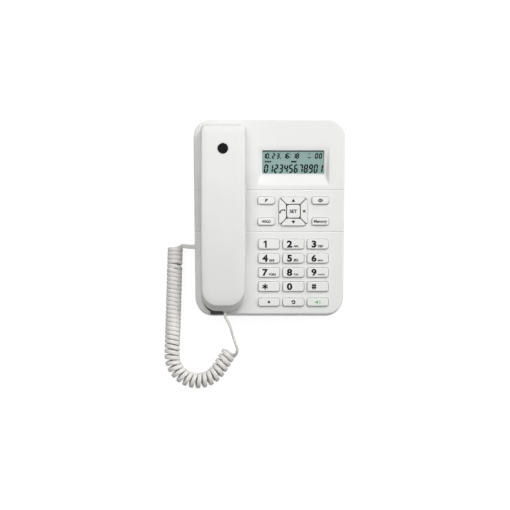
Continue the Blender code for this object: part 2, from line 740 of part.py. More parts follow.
def build_bottom_cover(look):
    """Tray of the base with bosses, socket pedestals and sound slots."""
    rim = SEAM_HEIGHT - GAP / 2
    edge = 2.5 * MM
    rings = [
        at_height(base_outline(edge), FOOT_HEIGHT),
        at_height(base_outline(0), FOOT_HEIGHT + edge),
        at_height(base_outline(0), rim),
        at_height(base_outline(WALL), rim),
        at_height(base_outline(WALL + 1.0 * MM), FLOOR_TOP),
    ]
    bm = bmesh.new()
    add_loft(bm, rings)
    tray = add_object("base_bottom_cover", bm, look)

    # Bosses, pedestals and the ring around the loudspeaker
    sunk = FOOT_HEIGHT + FLOOR / 2
    raised = bmesh.new()
    for x, y in CORNERS:
        add_prism(raised, circle(POST_RADIUS + 0.4 * MM, 12, (x * SCREW_X, y * SCREW_Y)), sunk, rim)
    mouth = base_jack_place()["location"]
    rear = mouth[0] + JACK_LENGTH
    front = mouth[0] + 2 * WALL
    half = JACK_WIDTH / 2
    shelf = BASE_JACK_Z - JACK_HEIGHT / 2 - GAP
    add_prism(raised, rectangle(front, rear, BASE_JACK_Y - half, BASE_JACK_Y + half), sunk, shelf)
    half = LINE_JACK_WIDTH / 2
    inner = BASE_LENGTH / 2 - JACK_LENGTH
    outer = BASE_LENGTH / 2 - 2 * WALL
    shelf = LINE_JACK_Z - JACK_HEIGHT / 2 - GAP
    add_prism(raised, rectangle(LINE_JACK_X - half, LINE_JACK_X + half, inner, outer), sunk, shelf)
    radius = BASE_CAPSULE_RADIUS
    inner = -BASE_LENGTH / 2 + WALL + GAP + BASE_CAPSULE_LENGTH
    outer = -BASE_LENGTH / 2 + 2 * WALL
    shelf = BASE_CAPSULE_Z - radius - GAP
    side = rectangle(BASE_CAPSULE_X - radius, BASE_CAPSULE_X + radius, outer, inner)
    add_prism(raised, side, sunk, shelf)
    ring = circle(SPEAKER_RADIUS + 2.0 * MM, 24, (PANEL_U, SPEAKER_Y))
    add_prism(raised, ring, sunk, FLOOR_TOP + 4.0 * MM)
    combine(tray, "UNION", "raised_parts", raised)
    bowl = circle(SPEAKER_RADIUS + GAP, 24, (PANEL_U, SPEAKER_Y))
    bowl = prisms([bowl], FLOOR_TOP + SPEAKER_SEAT, FLOOR_TOP + SPEAKER_HEIGHT)
    combine(tray, "DIFFERENCE", "speaker_bowl", bowl)

    # Screw holes and foot pockets
    shanks = bmesh.new()
    pockets = bmesh.new()
    for x, y in CORNERS:
        place = (x * SCREW_X, y * SCREW_Y)
        add_prism(shanks, circle(HOLE_RADIUS, 8, place), 0, 2 * SEAM_HEIGHT)
        add_prism(pockets, circle(SCREW_HEAD_RADIUS + GAP, 12, place), 0, SCREW_HEAD_SEAT)
        foot = circle(FOOT_RADIUS + GAP, ROUND_STEPS, foot_place(x, y))
        add_prism(pockets, foot, 0, FOOT_HEIGHT + FOOT_RECESS)
    combine(tray, "DIFFERENCE", "screw_holes", shanks)
    combine(tray, "DIFFERENCE", "pockets", pockets)

    # Slots under the loudspeaker
    slots = []
    for k in range(-2, 3):
        half = SPEAKER_RADIUS * (0.66 - 0.09 * abs(k))
        x = PANEL_U + k * 5.0 * MM
        slots.append(rectangle(x - 1.2 * MM, x + 1.2 * MM, SPEAKER_Y - half, SPEAKER_Y + half))
    combine(tray, "DIFFERENCE", "slots", prisms(slots, 0, 2 * FLOOR_TOP))


def foot_place(x, y):
    return (x * (BASE_WIDTH / 2 - FOOT_INSET), y * (BASE_LENGTH / 2 - FOOT_INSET))


def display_opening(grow):
    """Outline of the opening in the recess floor."""
    width = DISPLAY_WIDTH + 2 * grow
    return rounded_rectangle(width, DISPLAY_LENGTH + 2 * grow, DISPLAY_CORNER + grow, KEY_STEPS)


def display_plate(lap):
    """Outline of a plate behind the display opening."""
    return rectangle(
        -DISPLAY_WIDTH / 2 - lap,
        DISPLAY_WIDTH / 2 + lap,
        -DISPLAY_LENGTH / 2 - lap,
        DISPLAY_LENGTH / 2 + lap,
    )


def build_display(looks):
    """Window in the opening, liquid-crystal glass and holder in the pocket behind it."""
    display = bpy.data.objects["display_frame"]
    place = (0, -DISPLAY_TOP_MARGIN - DISPLAY_LENGTH / 2, 0)
    bm = prisms([display_opening(-GAP)], -DISPLAY_FLOOR, -WINDOW_SINK)
    add_object("display_window", bm, looks["window"], display, place)
    top = -DISPLAY_FLOOR - GAP
    layers = (
        ("display_glass", "liquid_crystal", GLASS_THICKNESS),
        ("display_holder", "dark_plastic", HOLDER_THICKNESS),
    )
    for name, look, thickness in layers:
        bm = prisms([display_plate(DISPLAY_LAP)], top - thickness, top)
        add_object(name, bm, looks[look], display, place)
        top -= thickness + GAP


def build_keys(looks, face):
    """All keys of the dial, the function keys and the four-way pad."""
    for name, (u, v, width, length) in KEY_PLACES.items():

        def outline(grow, size=(width, length)):
            return key_outline(*size, KEY_CORNER, grow)

        make_key(name, looks["key"], face, u, v, outline, outline(KEY_FLANGE))

    def arrow(grow):
        return arrow_outline(grow, 0.0)

    for k, name in enumerate(("key_up", "key_call", "key_down", "key_delete")):
        flange = arrow_outline(0.0, KEY_FLANGE)
        make_key(name, looks["key"], face, PANEL_U, NAV_V, arrow, flange, k * math.pi / 2)

    def middle(grow):
        return key_outline(SET_SIZE, SET_SIZE, SET_CORNER, grow)

    make_key("key_set", looks["key"], face, PANEL_U, NAV_V, middle, middle(0.0))


def dome_places():
    """Middle of every key, where the mat has a dome."""
    places = [(u, v) for u, v, width, length in KEY_PLACES.values()]
    reach = (SET_SIZE / 2 + NAV_GAP + NAV_SIZE / 2) / 2
    places.append((PANEL_U, NAV_V))
    for u, v in ((reach, 0), (-reach, 0), (0, reach), (0, -reach)):
        places.append((PANEL_U + u, NAV_V + v))
    return places


def build_keypad(looks, face):
    """Silicone mat with a dome under each key, and the circuit board it lies on."""
    bm = prisms([rectangle(MAT_LEFT, MAT_RIGHT, MAT_FRONT, MAT_REAR)], MAT_BOTTOM, MAT_TOP)
    mat = add_object("keypad_mat", bm, looks["silicone"], face)
    domes = bmesh.new()
    for place in dome_places():
        profile = [(DOME_RADIUS, MAT_TOP - MAT_THICKNESS / 2), (DOME_RADIUS * 0.7, DOME_TOP)]
        add_turned(domes, profile, 6, place)
    combine(mat, "UNION", "domes", domes, face)

    outline = [
        (BOARD_LEFT, TONGUE_FRONT),
        (BOARD_MIDDLE, TONGUE_FRONT),
        (BOARD_MIDDLE, MAT_FRONT),
        (MAT_RIGHT, MAT_FRONT),
        (MAT_RIGHT, RIGHT_FRONT),
        (BOARD_RIGHT, RIGHT_FRONT),
        (BOARD_RIGHT, BOARD_REAR),
        (BOARD_LEFT, BOARD_REAR),
    ]
    bm = prisms([outline], BOARD_BOTTOM, BOARD_TOP)
    board = add_object("main_board", bm, looks["board"], face)
    holes = [circle(BOARD_PIN_RADIUS + GAP, 8, post) for post in BOARD_POSTS]
    pins = prisms(holes, BOARD_BOTTOM - MM, BOARD_TOP + MM)
    combine(board, "DIFFERENCE", "pin_holes", pins, face)


def build_hook(looks, face):
    """Hook plunger under the handset's grip, its spring and its switch."""
    place = (HANDSET_U, HANDSET_V + HOOK_FROM_MIDDLE, 0)
    flange_top = SKIRT_TOP - HOOK_TRAVEL
    flange_bottom = flange_top - HOOK_FLANGE_THICKNESS
    spring_bottom = BOARD_TOP + GAP
    top = GRIP_UNDERSIDE - GAP
    bm = bmesh.new()
    profile = [
        (HOOK_STUB_RADIUS, spring_bottom + SPRING_WIRE),
        (HOOK_STUB_RADIUS, flange_bottom),
        (HOOK_FLANGE_RADIUS, flange_bottom),
        (HOOK_FLANGE_RADIUS, flange_top),
        (HOOK_RADIUS, flange_top),
        (HOOK_RADIUS, top - 1.0 * MM),
        (HOOK_RADIUS - 1.0 * MM, top),
    ]
    add_turned(bm, profile, 12)
    add_object("hook_plunger", bm, looks["hook"], face, place)

    wire = SPRING_WIRE / 2
    rise = flange_bottom - GAP - spring_bottom - 2 * wire
    steps = 10
    points = []
    for k in range(int(SPRING_TURNS * steps) + 1):
        angle = 2 * math.pi * k / steps
        height = spring_bottom + wire + rise * k / (SPRING_TURNS * steps)
        points.append(Vector((SPRING_RADIUS * math.cos(angle), SPRING_RADIUS * math.sin(angle), height)))
    make_tube("hook_spring", points, SPRING_WIRE, looks["steel"], face, place)

    side = HOOK_STUB_RADIUS + 2.2 * MM
    box = rectangle(side, side + SWITCH_SIZE, -SWITCH_SIZE / 2, SWITCH_SIZE / 2)
    bm = prisms([box], BOARD_TOP + GAP, flange_bottom - GAP)
    add_object("hook_switch", bm, looks["dark_plastic"], face, place)


def build_base_fittings(looks):
    """Feet, screws, sockets, loudspeaker and hands-free microphone."""
    names = ("front_left", "rear_left", "front_right", "rear_right")
    for name, (x, y) in zip(names, CORNERS):
        bm = bmesh.new()
        rim = 0.8 * MM
        top = FOOT_HEIGHT + FOOT_RECESS - GAP
        add_turned(bm, [(FOOT_RADIUS - rim, 0), (FOOT_RADIUS, rim), (FOOT_RADIUS, top)])
        add_object(f"foot_{name}", bm, looks["rubber"], None, (*foot_place(x, y), 0))
        head = SCREW_HEAD_SEAT - GAP - SCREW_HEAD
        place = (x * SCREW_X, y * SCREW_Y, head)
        make_screw(f"base_screw_{name}", looks["steel"], SCREW_LENGTH, None, place)

    make_jack("base_handset_jack", looks["socket"], JACK_WIDTH, JACK_CAVITY_WIDTH, base_jack_place())
    make_jack("line_jack", looks["socket"], LINE_JACK_WIDTH, LINE_JACK_CAVITY_WIDTH, line_jack_place())

    bm = bmesh.new()
    low = FLOOR_TOP + SPEAKER_SEAT + GAP
    magnet = SPEAKER_RADIUS * 0.5
    profile = [
        (SPEAKER_RADIUS, low),
        (SPEAKER_RADIUS, low + 2.5 * MM),
        (magnet + 2.0 * MM, low + 0.6 * SPEAKER_HEIGHT),
        (magnet, low + 0.6 * SPEAKER_HEIGHT),
        (magnet, low + SPEAKER_HEIGHT),
    ]
    add_turned(bm, profile, 24)
    add_object("loudspeaker", bm, looks["speaker"], None, (PANEL_U, SPEAKER_Y, 0))

    bm = bmesh.new()
    front = -BASE_LENGTH / 2 + WALL + GAP
    ring = circle(BASE_CAPSULE_RADIUS, 12)
    add_loft(bm, [[Vector((x, y, z)) for x, z in ring] for y in (0, BASE_CAPSULE_LENGTH)])
    place = (BASE_CAPSULE_X, front, BASE_CAPSULE_Z)
    add_object("base_microphone", bm, looks["aluminium"], None, place)


def handset_outline(side, front, rear):
    """Handset plan outline, inset by different amounts at its sides and ends."""
    width = HANDSET_WIDTH - 2 * side
    length = HANDSET_LENGTH - front - rear
    outline = rounded_plan(
        width,
        length,
        HANDSET_FRONT_CORNER - side,
        HANDSET_REAR_CORNER - side,
        HANDSET_CORNER_STEPS,
        HANDSET_SIDE_POINTS,
    )
    points = []
    for a, b in moved(outline, 0, (front - rear) / 2):
        share = (NARROWING_START - b) / (NARROWING_START + HANDSET_LENGTH / 2)
        narrow = HANDSET_NARROWING * max(share, 0.0) ** 2
        points.append((a * (1 - 2 * narrow / HANDSET_WIDTH), b))
    return points


def handset_top(b):
    """Height of the handset's arched back."""
    return HANDSET_TOP - HANDSET_ARCH * (2 * b / HANDSET_LENGTH) ** 2


def handset_underside(b):
    """Height of the handset's underside: raised at the grip, low at both ends."""
    share = min(max((abs(b) - GRIP_HALF) / GRIP_RAMP, 0.0), 1.0)
    blend = share * share * (3 - 2 * share)
    return GRIP_UNDERSIDE + (END_UNDERSIDE - GRIP_UNDERSIDE) * blend


def build_handset_back(look, handset):
    """Arched back shell with posts for the two screws and a pocket for the badge."""
    rings = []
    for k in range(FILLET_STEPS, -1, -1):
        angle = math.radians(90 * k / FILLET_STEPS)
        inset = HANDSET_ROUND * (1 - math.cos(angle))
        drop = HANDSET_ROUND * (1 - math.sin(angle))
        outline = handset_outline(
            HANDSET_DRAFT + inset, HANDSET_FRONT_SLOPE + inset, HANDSET_REAR_SLOPE + inset
        )
        rings.append([Vector((a, b, handset_top(b) - drop)) for a, b in outline])
    rim = HANDSET_SEAM + GAP / 2
    wall = HANDSET_WALL
    rings.append(at_height(handset_outline(0, 0, 0), rim))
    rings.append(at_height(handset_outline(wall, wall, wall), rim))
    inset = HANDSET_DRAFT + wall
    inside = handset_outline(inset, HANDSET_FRONT_SLOPE + wall, HANDSET_REAR_SLOPE + wall)
    rings.append([Vector((a, b, handset_top(b) - wall - 0.6 * MM)) for a, b in inside])
    bm = bmesh.new()
    add_loft(bm, rings, ladder=True)
    shell = add_object("handset_back", bm, look, handset)

    posts = bmesh.new()
    holes = bmesh.new()
    for b in (-HANDSET_SCREW_B, HANDSET_SCREW_B):
        add_prism(posts, circle(POST_RADIUS, 12, (0, b)), rim, handset_top(b) - wall / 2)
        tip = handset_screw_seat() + HANDSET_SCREW_LENGTH + GAP
        add_prism(holes, circle(HOLE_RADIUS, 8, (0, b)), 0, tip)
    combine(shell, "UNION", "handset_posts", posts, handset)
    combine(shell, "DIFFERENCE", "handset_pilot_holes", holes, handset)
    bm = prisms([circle(BADGE_RADIUS + GAP, 24)], -BADGE_SINK, HANDSET_ROUND)
    combine(shell, "DIFFERENCE", "badge_pocket", bm, bpy.data.objects["badge_frame"])


def handset_screw_seat():
    """Height of the face that the handset screws' heads pull against."""
    return GRIP_UNDERSIDE + HANDSET_WALL + 0.3 * MM


def bump_outline(width, length, b, inset=0.0):
    outline = rounded_rectangle(
        width - 2 * inset, length - 2 * inset, BUMP_CORNER - inset, WELL_STEPS
    )
    return moved(outline, 0, b)


BUMPS = (
    (EAR_BUMP_WIDTH, EAR_BUMP_LENGTH, EAR_B),
    (MIC_BUMP_WIDTH, MIC_BUMP_LENGTH, MIC_B),
)


def build_handset_front(look, handset):
    """Front shell with the hollow ear and mouth bumps that drop into the wells."""
    rings = []
    wall = HANDSET_WALL
    for k in range(3):
        angle = math.radians(45 * k)
        inset = UNDER_ROUND * (1 - math.sin(angle))
        lift = UNDER_ROUND * (1 - math.cos(angle))
        outline = handset_outline(inset, inset, inset)
        rings.append([Vector((a, b, handset_underside(b) + lift)) for a, b in outline])
    rim = HANDSET_SEAM - GAP / 2
    rings.append(at_height(handset_outline(0, 0, 0), rim))
    rings.append(at_height(handset_outline(wall, wall, wall), rim))
    inset = wall + 0.6 * MM
    inside = handset_outline(inset, inset, inset)
    rings.append([Vector((a, b, handset_underside(b) + wall)) for a, b in inside])
    bm = bmesh.new()
    add_loft(bm, rings, ladder=True)
    shell = add_object("handset_front", bm, look, handset)

    solids = bmesh.new()
    hollows = bmesh.new()
    soft = 1.5 * MM
    for width, length, b in BUMPS:
        rings = [
            at_height(bump_outline(width, length, b, soft), BUMP_BOTTOM),
            at_height(bump_outline(width, length, b), BUMP_BOTTOM + soft),
            at_height(bump_outline(width, length, b), END_UNDERSIDE + wall / 2),
        ]
        add_loft(solids, rings)
        outline = bump_outline(width, length, b, wall)
        add_prism(hollows, outline, BUMP_BOTTOM + wall, END_UNDERSIDE + 1.2 * wall)
    combine(shell, "UNION", "bumps", solids, handset)
    combine(shell, "DIFFERENCE", "bump_hollows", hollows, handset)

    bosses = bmesh.new()
    holes = bmesh.new()
    pockets = bmesh.new()
    for b in (-HANDSET_SCREW_B, HANDSET_SCREW_B):
        add_prism(bosses, circle(POST_RADIUS, 12, (0, b)), GRIP_UNDERSIDE + wall / 2, rim)
        add_prism(holes, circle(HOLE_RADIUS, 8, (0, b)), 0, HANDSET_TOP)
        head = circle(SCREW_HEAD_RADIUS + GAP, 12, (0, b))
        add_prism(pockets, head, 0, handset_screw_seat())
    combine(shell, "UNION", "handset_bosses", bosses, handset)
    combine(shell, "DIFFERENCE", "handset_screw_holes", holes, handset)
    combine(shell, "DIFFERENCE", "handset_head_pockets", pockets, handset)

    sound = []
    for k in range(6):
        angle = math.pi * k / 3
        place = (6.0 * MM * math.cos(angle), EAR_B + 6.0 * MM * math.sin(angle))
        sound.append(circle(1.1 * MM, 8, place))
    sound.append(circle(1.1 * MM, 8, (0, EAR_B)))
    for k in (-1, 0, 1):
        x = k * 4.0 * MM
        sound.append(rectangle(x - 0.7 * MM, x + 0.7 * MM, MIC_B - 3.5 * MM, MIC_B + 3.5 * MM))
    holes = prisms(sound, BUMP_BOTTOM - wall, BUMP_BOTTOM + 2 * wall)
    combine(shell, "DIFFERENCE", "sound_holes", holes, handset)
    combine(shell, "DIFFERENCE", "handset_jack_hole", jack_hole(JACK_WIDTH), **handset_jack_place(handset))


def build_handset_fittings(looks, handset):
    """Badge, receiver, microphone, weight, socket and screws of the handset."""
    bm = bmesh.new()
    low = -BADGE_SINK + GAP
    top = low + BADGE_THICKNESS
    add_turned(bm, [(BADGE_RADIUS, low), (BADGE_RADIUS, top - GAP), (BADGE_RADIUS - GAP, top)], 24)
    add_object("handset_badge", bm, looks["badge"], bpy.data.objects["badge_frame"])

    seat = BUMP_BOTTOM + HANDSET_WALL + GAP
    bm = bmesh.new()
    neck = RECEIVER_RADIUS * 0.6
    step = seat + 0.6 * RECEIVER_HEIGHT
    profile = [
        (RECEIVER_RADIUS, seat),
        (RECEIVER_RADIUS, step),
        (neck, step),
        (neck, seat + RECEIVER_HEIGHT),
    ]
    add_turned(bm, profile, 20)
    add_object("earpiece_receiver", bm, looks["speaker"], handset, (0, EAR_B, 0))
    bm = bmesh.new()
    add_turned(bm, [(CAPSULE_RADIUS, seat), (CAPSULE_RADIUS, seat + CAPSULE_HEIGHT)])
    add_object("handset_microphone", bm, looks["aluminium"], handset, (0, MIC_B, 0))

    half = HANDSET_SCREW_B - POST_RADIUS - 2.0 * MM
    low = GRIP_UNDERSIDE + HANDSET_WALL + GAP
    plate = rectangle(-WEIGHT_WIDTH / 2, WEIGHT_WIDTH / 2, -half, half)
    bm = prisms([plate], low, low + WEIGHT_THICKNESS)
    add_object("handset_weight", bm, looks["steel"], handset)

    make_jack("handset_jack", looks["socket"], JACK_WIDTH, JACK_CAVITY_WIDTH, handset_jack_place(handset))
    for name, b in (("front", -HANDSET_SCREW_B), ("rear", HANDSET_SCREW_B)):
        head = handset_screw_seat() - GAP - SCREW_HEAD
        make_screw(f"handset_screw_{name}", looks["steel"], HANDSET_SCREW_LENGTH, handset, (0, b, head))


def make_tube(name, points, diameter, look, parent=None, location=(0, 0, 0)):
    """A round tube along a line of points."""
    curve = bpy.data.curves.new(name, "CURVE")
    curve.dimensions = "3D"
    curve.bevel_depth = diameter / 2
    curve.bevel_resolution = 1
    curve.use_fill_caps = True
    line = curve.splines.new("POLY")
    line.points.add(len(points) - 1)
    for knot, point in zip(line.points, points):
        knot.co = (*point, 1.0)
    curve.materials.append(look)
    item = bpy.data.objects.new(name, curve)
    bpy.context.scene.collection.objects.link(item)
    item.parent = parent
    item.location = location
    return item


def smooth_line(points, steps):
    """Points read from a smooth curve through a few route points."""
    first = points[0] * 2 - points[1]
    last = points[-1] * 2 - points[-2]
    knots = [first] + list(points) + [last]
    line = []
    for k in range(1, len(knots) - 2):
        a, b, c, d = knots[k - 1 : k + 3]
        for step in range(steps):
            t = step / steps
            spread = (c - a) * t + (a * 2 - b * 5 + c * 4 - d) * t**2
            line.append(b + (spread + (b * 3 - a - c * 3 + d) * t**3) / 2)
    line.append(points[-1])
    return line


def along(line, lengths, distance):
    """Point and direction at a distance along a line."""
    k = min(max(int(numpy.searchsorted(lengths, distance)), 1), len(line) - 1)
    share = (distance - lengths[k - 1]) / (lengths[k] - lengths[k - 1])
    return line[k - 1].lerp(line[k], share), (line[k] - line[k - 1]).normalized()


def coil_axis():
    """Axis of the coil on the table: down the left of the base and round in front of it."""
    height = COIL_RADIUS + CORD_DIAMETER / 2 + TABLE_CLEARANCE
    start = Vector((-BASE_WIDTH / 2 - COIL_FROM_BASE, BASE_JACK_Y + COIL_AHEAD, height))
    turn = start + Vector((COIL_BEND_RADIUS - COIL_LEAN, -COIL_RUN, 0))
    steps = 48
    axis = [start]
    for k in range(steps + 1):
        angle = math.pi + COIL_BEND_ANGLE * k / steps
        axis.append(turn + COIL_BEND_RADIUS * Vector((math.cos(angle), math.sin(angle), 0)))
    heading = math.pi * 1.5 + COIL_BEND_ANGLE
    axis.append(axis[-1] + COIL_END_RUN * Vector((math.cos(heading), math.sin(heading), 0)))
    return axis


def coil_points():
    """Points of the coil, wound closely down the side and more loosely round the bend."""
    axis = coil_axis()
    lengths = numpy.concatenate([[0.0], numpy.cumsum([(b - a).length for a, b in zip(axis, axis[1:])])])

    def spread(turn):
        """Turns up to this one, weighted by the looser pitch of the later ones."""
        past = (turn - COIL_TURNS_CLOSE) / COIL_TURNS_LOOSENING
        late = turn + COIL_TURNS_LOOSENING * math.log(math.cosh(past))
        return turn + (COIL_LOOSE_SHARE - 1) / 2 * late

    def slipped(turn):
        """How far the coil has parted at the one place where a turn lies askew."""
        return COIL_SLIP / 2 * (1 + math.tanh((turn - COIL_SLIP_TURN) / COIL_SLIP_SPAN))

    pitch = (lengths[-1] - COIL_SLIP) / (spread(COIL_TURNS) - spread(0))
    count = round(COIL_TURNS * POINTS_PER_CURL)
    points = []
    for k in range(count + 1):
        turn = COIL_TURNS * k / count
        angle = -2 * math.pi * turn
        place = (spread(turn) - spread(0)) * pitch + slipped(turn)
        middle, heading = along(axis, lengths, place)
        left = Vector((-heading.y, heading.x, 0))
        out = left * math.cos(angle) + Vector((0, 0, math.sin(angle)))
        points.append(middle + out * COIL_RADIUS)
    widest = pitch * COIL_LOOSE_SHARE
    print(f"cord: {COIL_TURNS} turns, pitch {pitch / MM:.2f} mm to {widest / MM:.2f} mm")
    return points


def cord_points():
    """The cord from the base plug, through the coil, to the handset plug."""
    coil = coil_points()
    plug = Vector(base_jack_place()["location"]) - Vector((PLUG_PROUD + GAP, 0, 0))
    straight = Vector((CORD_DIAMETER + 1.0 * MM, 0, 0))
    corner = Vector((coil[0].x, coil[0].y, plug.z))
    shoulder = corner.lerp((plug - straight).lerp(coil[0], 0.5), 0.59)
    lead = smooth_line([plug, plug - straight, shoulder, coil[0], coil[1]], 3)[:9]

    across = HANDSET_U + HANDSET_JACK_OFFSET
    mouth_b = HANDSET_V - HANDSET_LENGTH / 2 + HANDSET_JACK_SINK - PLUG_PROUD
    mouth = from_face(across, mouth_b, HANDSET_JACK_C)
    ahead = from_face(across, mouth_b - CORD_DIAMETER - 1.0 * MM, HANDSET_JACK_C)
    end = coil[-1]
    rise = end + Vector((1.6, 2.2, 4.6)) * MM
    bend = end + Vector((2.2, 6.6, 8.0)) * MM
    low = end.lerp(mouth, 0.40) + Vector((2.6, 0, 3.2)) * MM
    high = end.lerp(mouth, 0.72) + Vector((1.6, 0, 2.4)) * MM
    tail = smooth_line([coil[-3], coil[-2], end, rise, bend, low, high, ahead], 3)[7:]
    return lead + coil + tail + [mouth]


def print_cord_facts(points):
    """Length of the cord and its least gap to itself."""
    fine = []
    for a, b in zip(points, points[1:]):
        fine += [a.lerp(b, k / 4) for k in range(4)]
    places = numpy.array(fine)
    steps = numpy.linalg.norm(numpy.diff(places, axis=0), axis=1)
    run = numpy.concatenate([[0.0], numpy.cumsum(steps)])
    apart = numpy.linalg.norm(places[:, None] - places[None], axis=2)
    far = numpy.abs(run[:, None] - run[None]) > 3.5 * CORD_DIAMETER
    gap = apart[far].min() - CORD_DIAMETER
    print(f"cord: length {run[-1]:.3f} m, {len(points)} points, least gap to itself {gap / MM:.2f} mm")
    print(f"cord: lowest {(places[:, 2].min() - CORD_DIAMETER / 2) / MM:.2f} mm")


def build_cord(looks, handset):
    """The coiled cord and the plug at each of its ends."""
    points = cord_points()
    print_cord_facts(points)
    make_tube("handset_cord", points, CORD_DIAMETER, looks["cord"])
    make_plug("base_plug", looks["window"], base_jack_place())
    make_plug("handset_plug", looks["window"], handset_jack_place(handset))


def key_places():
    """Middle and size of every rectangular key."""
    names = (
        ("key_1", "key_2", "key_3"),
        ("key_4", "key_5", "key_6"),
        ("key_7", "key_8", "key_9"),
        ("key_star", "key_0", "key_hash"),
    )
    places = {}
    for row, keys in enumerate(names):
        for column, name in enumerate(keys):
            u = PANEL_U + (column - 1) * KEY_PITCH_U
            places[name] = (u, FIRST_ROW_V - row * KEY_PITCH_V, KEY_WIDTH, KEY_LENGTH)
    for column, name in enumerate(("key_mute", "key_redial", "key_speaker")):
        u = PANEL_U + (column - 1) * KEY_PITCH_U
        places[name] = (u, BOTTOM_ROW_V, KEY_WIDTH, BOTTOM_KEY_LENGTH)
    corners = (("key_pause", -1, 1), ("key_volume", 1, 1), ("key_hold", -1, -1), ("key_memory", 1, -1))
    for name, side, end in corners:
        u = PANEL_U + side * FUNCTION_U
        v = NAV_V + end * FUNCTION_ROW_STEP / 2
        places[name] = (u, v, FUNCTION_KEY_WIDTH, FUNCTION_KEY_LENGTH)
    return places


KEY_PLACES = key_places()


def build():
    clear_scene()
    looks = {
        "shell": make_look("shell_white", (0.80, 0.80, 0.79), 0.45),
        "underside": make_look("underside_white", (0.72, 0.72, 0.71), 0.55),
        "key": make_look("key_white", (0.82, 0.82, 0.81), 0.4),
        "badge": make_look("badge_black", (0.02, 0.02, 0.025), 0.3),
        "window": make_look("clear_plastic", (0.9, 0.92, 0.92), 0.08, transmission=0.9),
        "liquid_crystal": make_look("liquid_crystal", (0.28, 0.42, 0.39), 0.25),
        "dark_plastic": make_look("dark_plastic", (0.06, 0.06, 0.065), 0.5),
        "board": make_look("board_green", (0.05, 0.22, 0.10), 0.5),
        "silicone": make_look("silicone_grey", (0.45, 0.46, 0.47), 0.7),
        "hook": make_look("hook_white", (0.78, 0.78, 0.77), 0.4),
        "steel": make_look("steel", (0.62, 0.62, 0.63), 0.3, 1.0),
        "aluminium": make_look("aluminium", (0.70, 0.71, 0.72), 0.35, 1.0),
        "speaker": make_look("speaker_frame", (0.12, 0.12, 0.13), 0.45, 0.6),
        "rubber": make_look("rubber_grey", (0.10, 0.10, 0.10), 0.85),
        "socket": make_look("socket_grey", (0.30, 0.30, 0.31), 0.45),
        "cord": make_look("cord_white", (0.72, 0.70, 0.67), 0.5),
    }
    face = make_frame("face_frame", (0, 0, FACE_MIDDLE_HEIGHT), FACE_TILT)
    make_frame("display_frame", (PANEL_U, RECESS_REAR_V, 0), DISPLAY_LEAN, face)
    handset = make_frame("handset_frame", (HANDSET_U, HANDSET_V, 0), 0, face)
    slope = math.atan(-8 * HANDSET_ARCH * BADGE_B / HANDSET_LENGTH**2)
    make_frame("badge_frame", (0, BADGE_B, handset_top(BADGE_B)), slope, handset)

    build_top_cover(looks["shell"], face)
    build_bottom_cover(looks["underside"])
    build_display(looks)
    build_keys(looks, face)
    build_keypad(looks, face)
    build_hook(looks, face)
    build_base_fittings(looks)
    build_handset_back(looks["shell"], handset)
    build_handset_front(looks["shell"], handset)
    build_handset_fittings(looks, handset)
    build_cord(looks, handset)


build()
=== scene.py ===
"""Looks of the corded desk telephone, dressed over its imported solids.

Metres, +Z up, +Y to the rear, origin on the table under the middle of the base.
Face coordinates (u, v, w) run across, up along and out of the sloping face.
"""

import json
import math

import bmesh
import bpy
from mathutils import Matrix, Vector


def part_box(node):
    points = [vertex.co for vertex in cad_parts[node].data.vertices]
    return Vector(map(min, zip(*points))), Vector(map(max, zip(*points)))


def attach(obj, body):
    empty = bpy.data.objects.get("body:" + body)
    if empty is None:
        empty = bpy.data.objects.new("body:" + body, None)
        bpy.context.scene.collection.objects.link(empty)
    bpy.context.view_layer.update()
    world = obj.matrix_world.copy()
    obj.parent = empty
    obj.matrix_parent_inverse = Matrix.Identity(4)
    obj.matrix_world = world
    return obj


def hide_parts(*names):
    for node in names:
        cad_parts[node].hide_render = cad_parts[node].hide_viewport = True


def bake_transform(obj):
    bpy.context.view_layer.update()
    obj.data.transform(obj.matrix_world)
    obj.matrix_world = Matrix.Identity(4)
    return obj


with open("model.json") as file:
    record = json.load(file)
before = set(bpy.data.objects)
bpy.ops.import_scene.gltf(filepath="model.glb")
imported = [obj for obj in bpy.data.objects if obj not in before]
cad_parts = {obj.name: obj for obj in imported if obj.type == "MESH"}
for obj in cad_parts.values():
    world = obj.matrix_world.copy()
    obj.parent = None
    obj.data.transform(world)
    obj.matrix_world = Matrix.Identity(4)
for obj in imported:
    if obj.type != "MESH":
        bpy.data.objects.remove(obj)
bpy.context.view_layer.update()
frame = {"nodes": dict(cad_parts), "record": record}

MM = 0.001

# Clearances, as in the solids
GAP = 0.3 * MM
KEY_GAP = 0.35 * MM
WELL_CLEARANCE = 1.2 * MM

# Base
FACE_TILT = math.radians(8.0)
BASE_WIDTH = 149.8 * MM
FACE_LENGTH = 194.75 * MM
FACE_FRONT_V = -FACE_LENGTH / 2
BASE_LENGTH = FACE_LENGTH * math.cos(FACE_TILT)
FRONT_HEIGHT = 20.0 * MM
FACE_MIDDLE_HEIGHT = FRONT_HEIGHT + BASE_LENGTH / 2 * math.tan(FACE_TILT)
BASE_TAPER = 0.015
CORNER_RADIUS = 17.0 * MM
EDGE_ROUND = 1.5 * MM
WALL = 2.2 * MM
FLOOR = 2.0 * MM
SEAM_HEIGHT = 9.0 * MM
SEAM_CHAMFER = 0.35 * MM
TRAY_ROUND = 2.5 * MM
TRAY_DRAFT = 1.0 * MM
FOOT_HEIGHT = 2.0 * MM
FOOT_RADIUS = 6.0 * MM
FOOT_RECESS = 0.8 * MM
FOOT_ROUND = 0.8 * MM
FOOT_INSET = 21.0 * MM
GROOVES = (-15.025 * MM, 26.675 * MM)
GROOVE_REACH = 0.95 * MM
GROOVE_DEPTH = 0.5 * MM

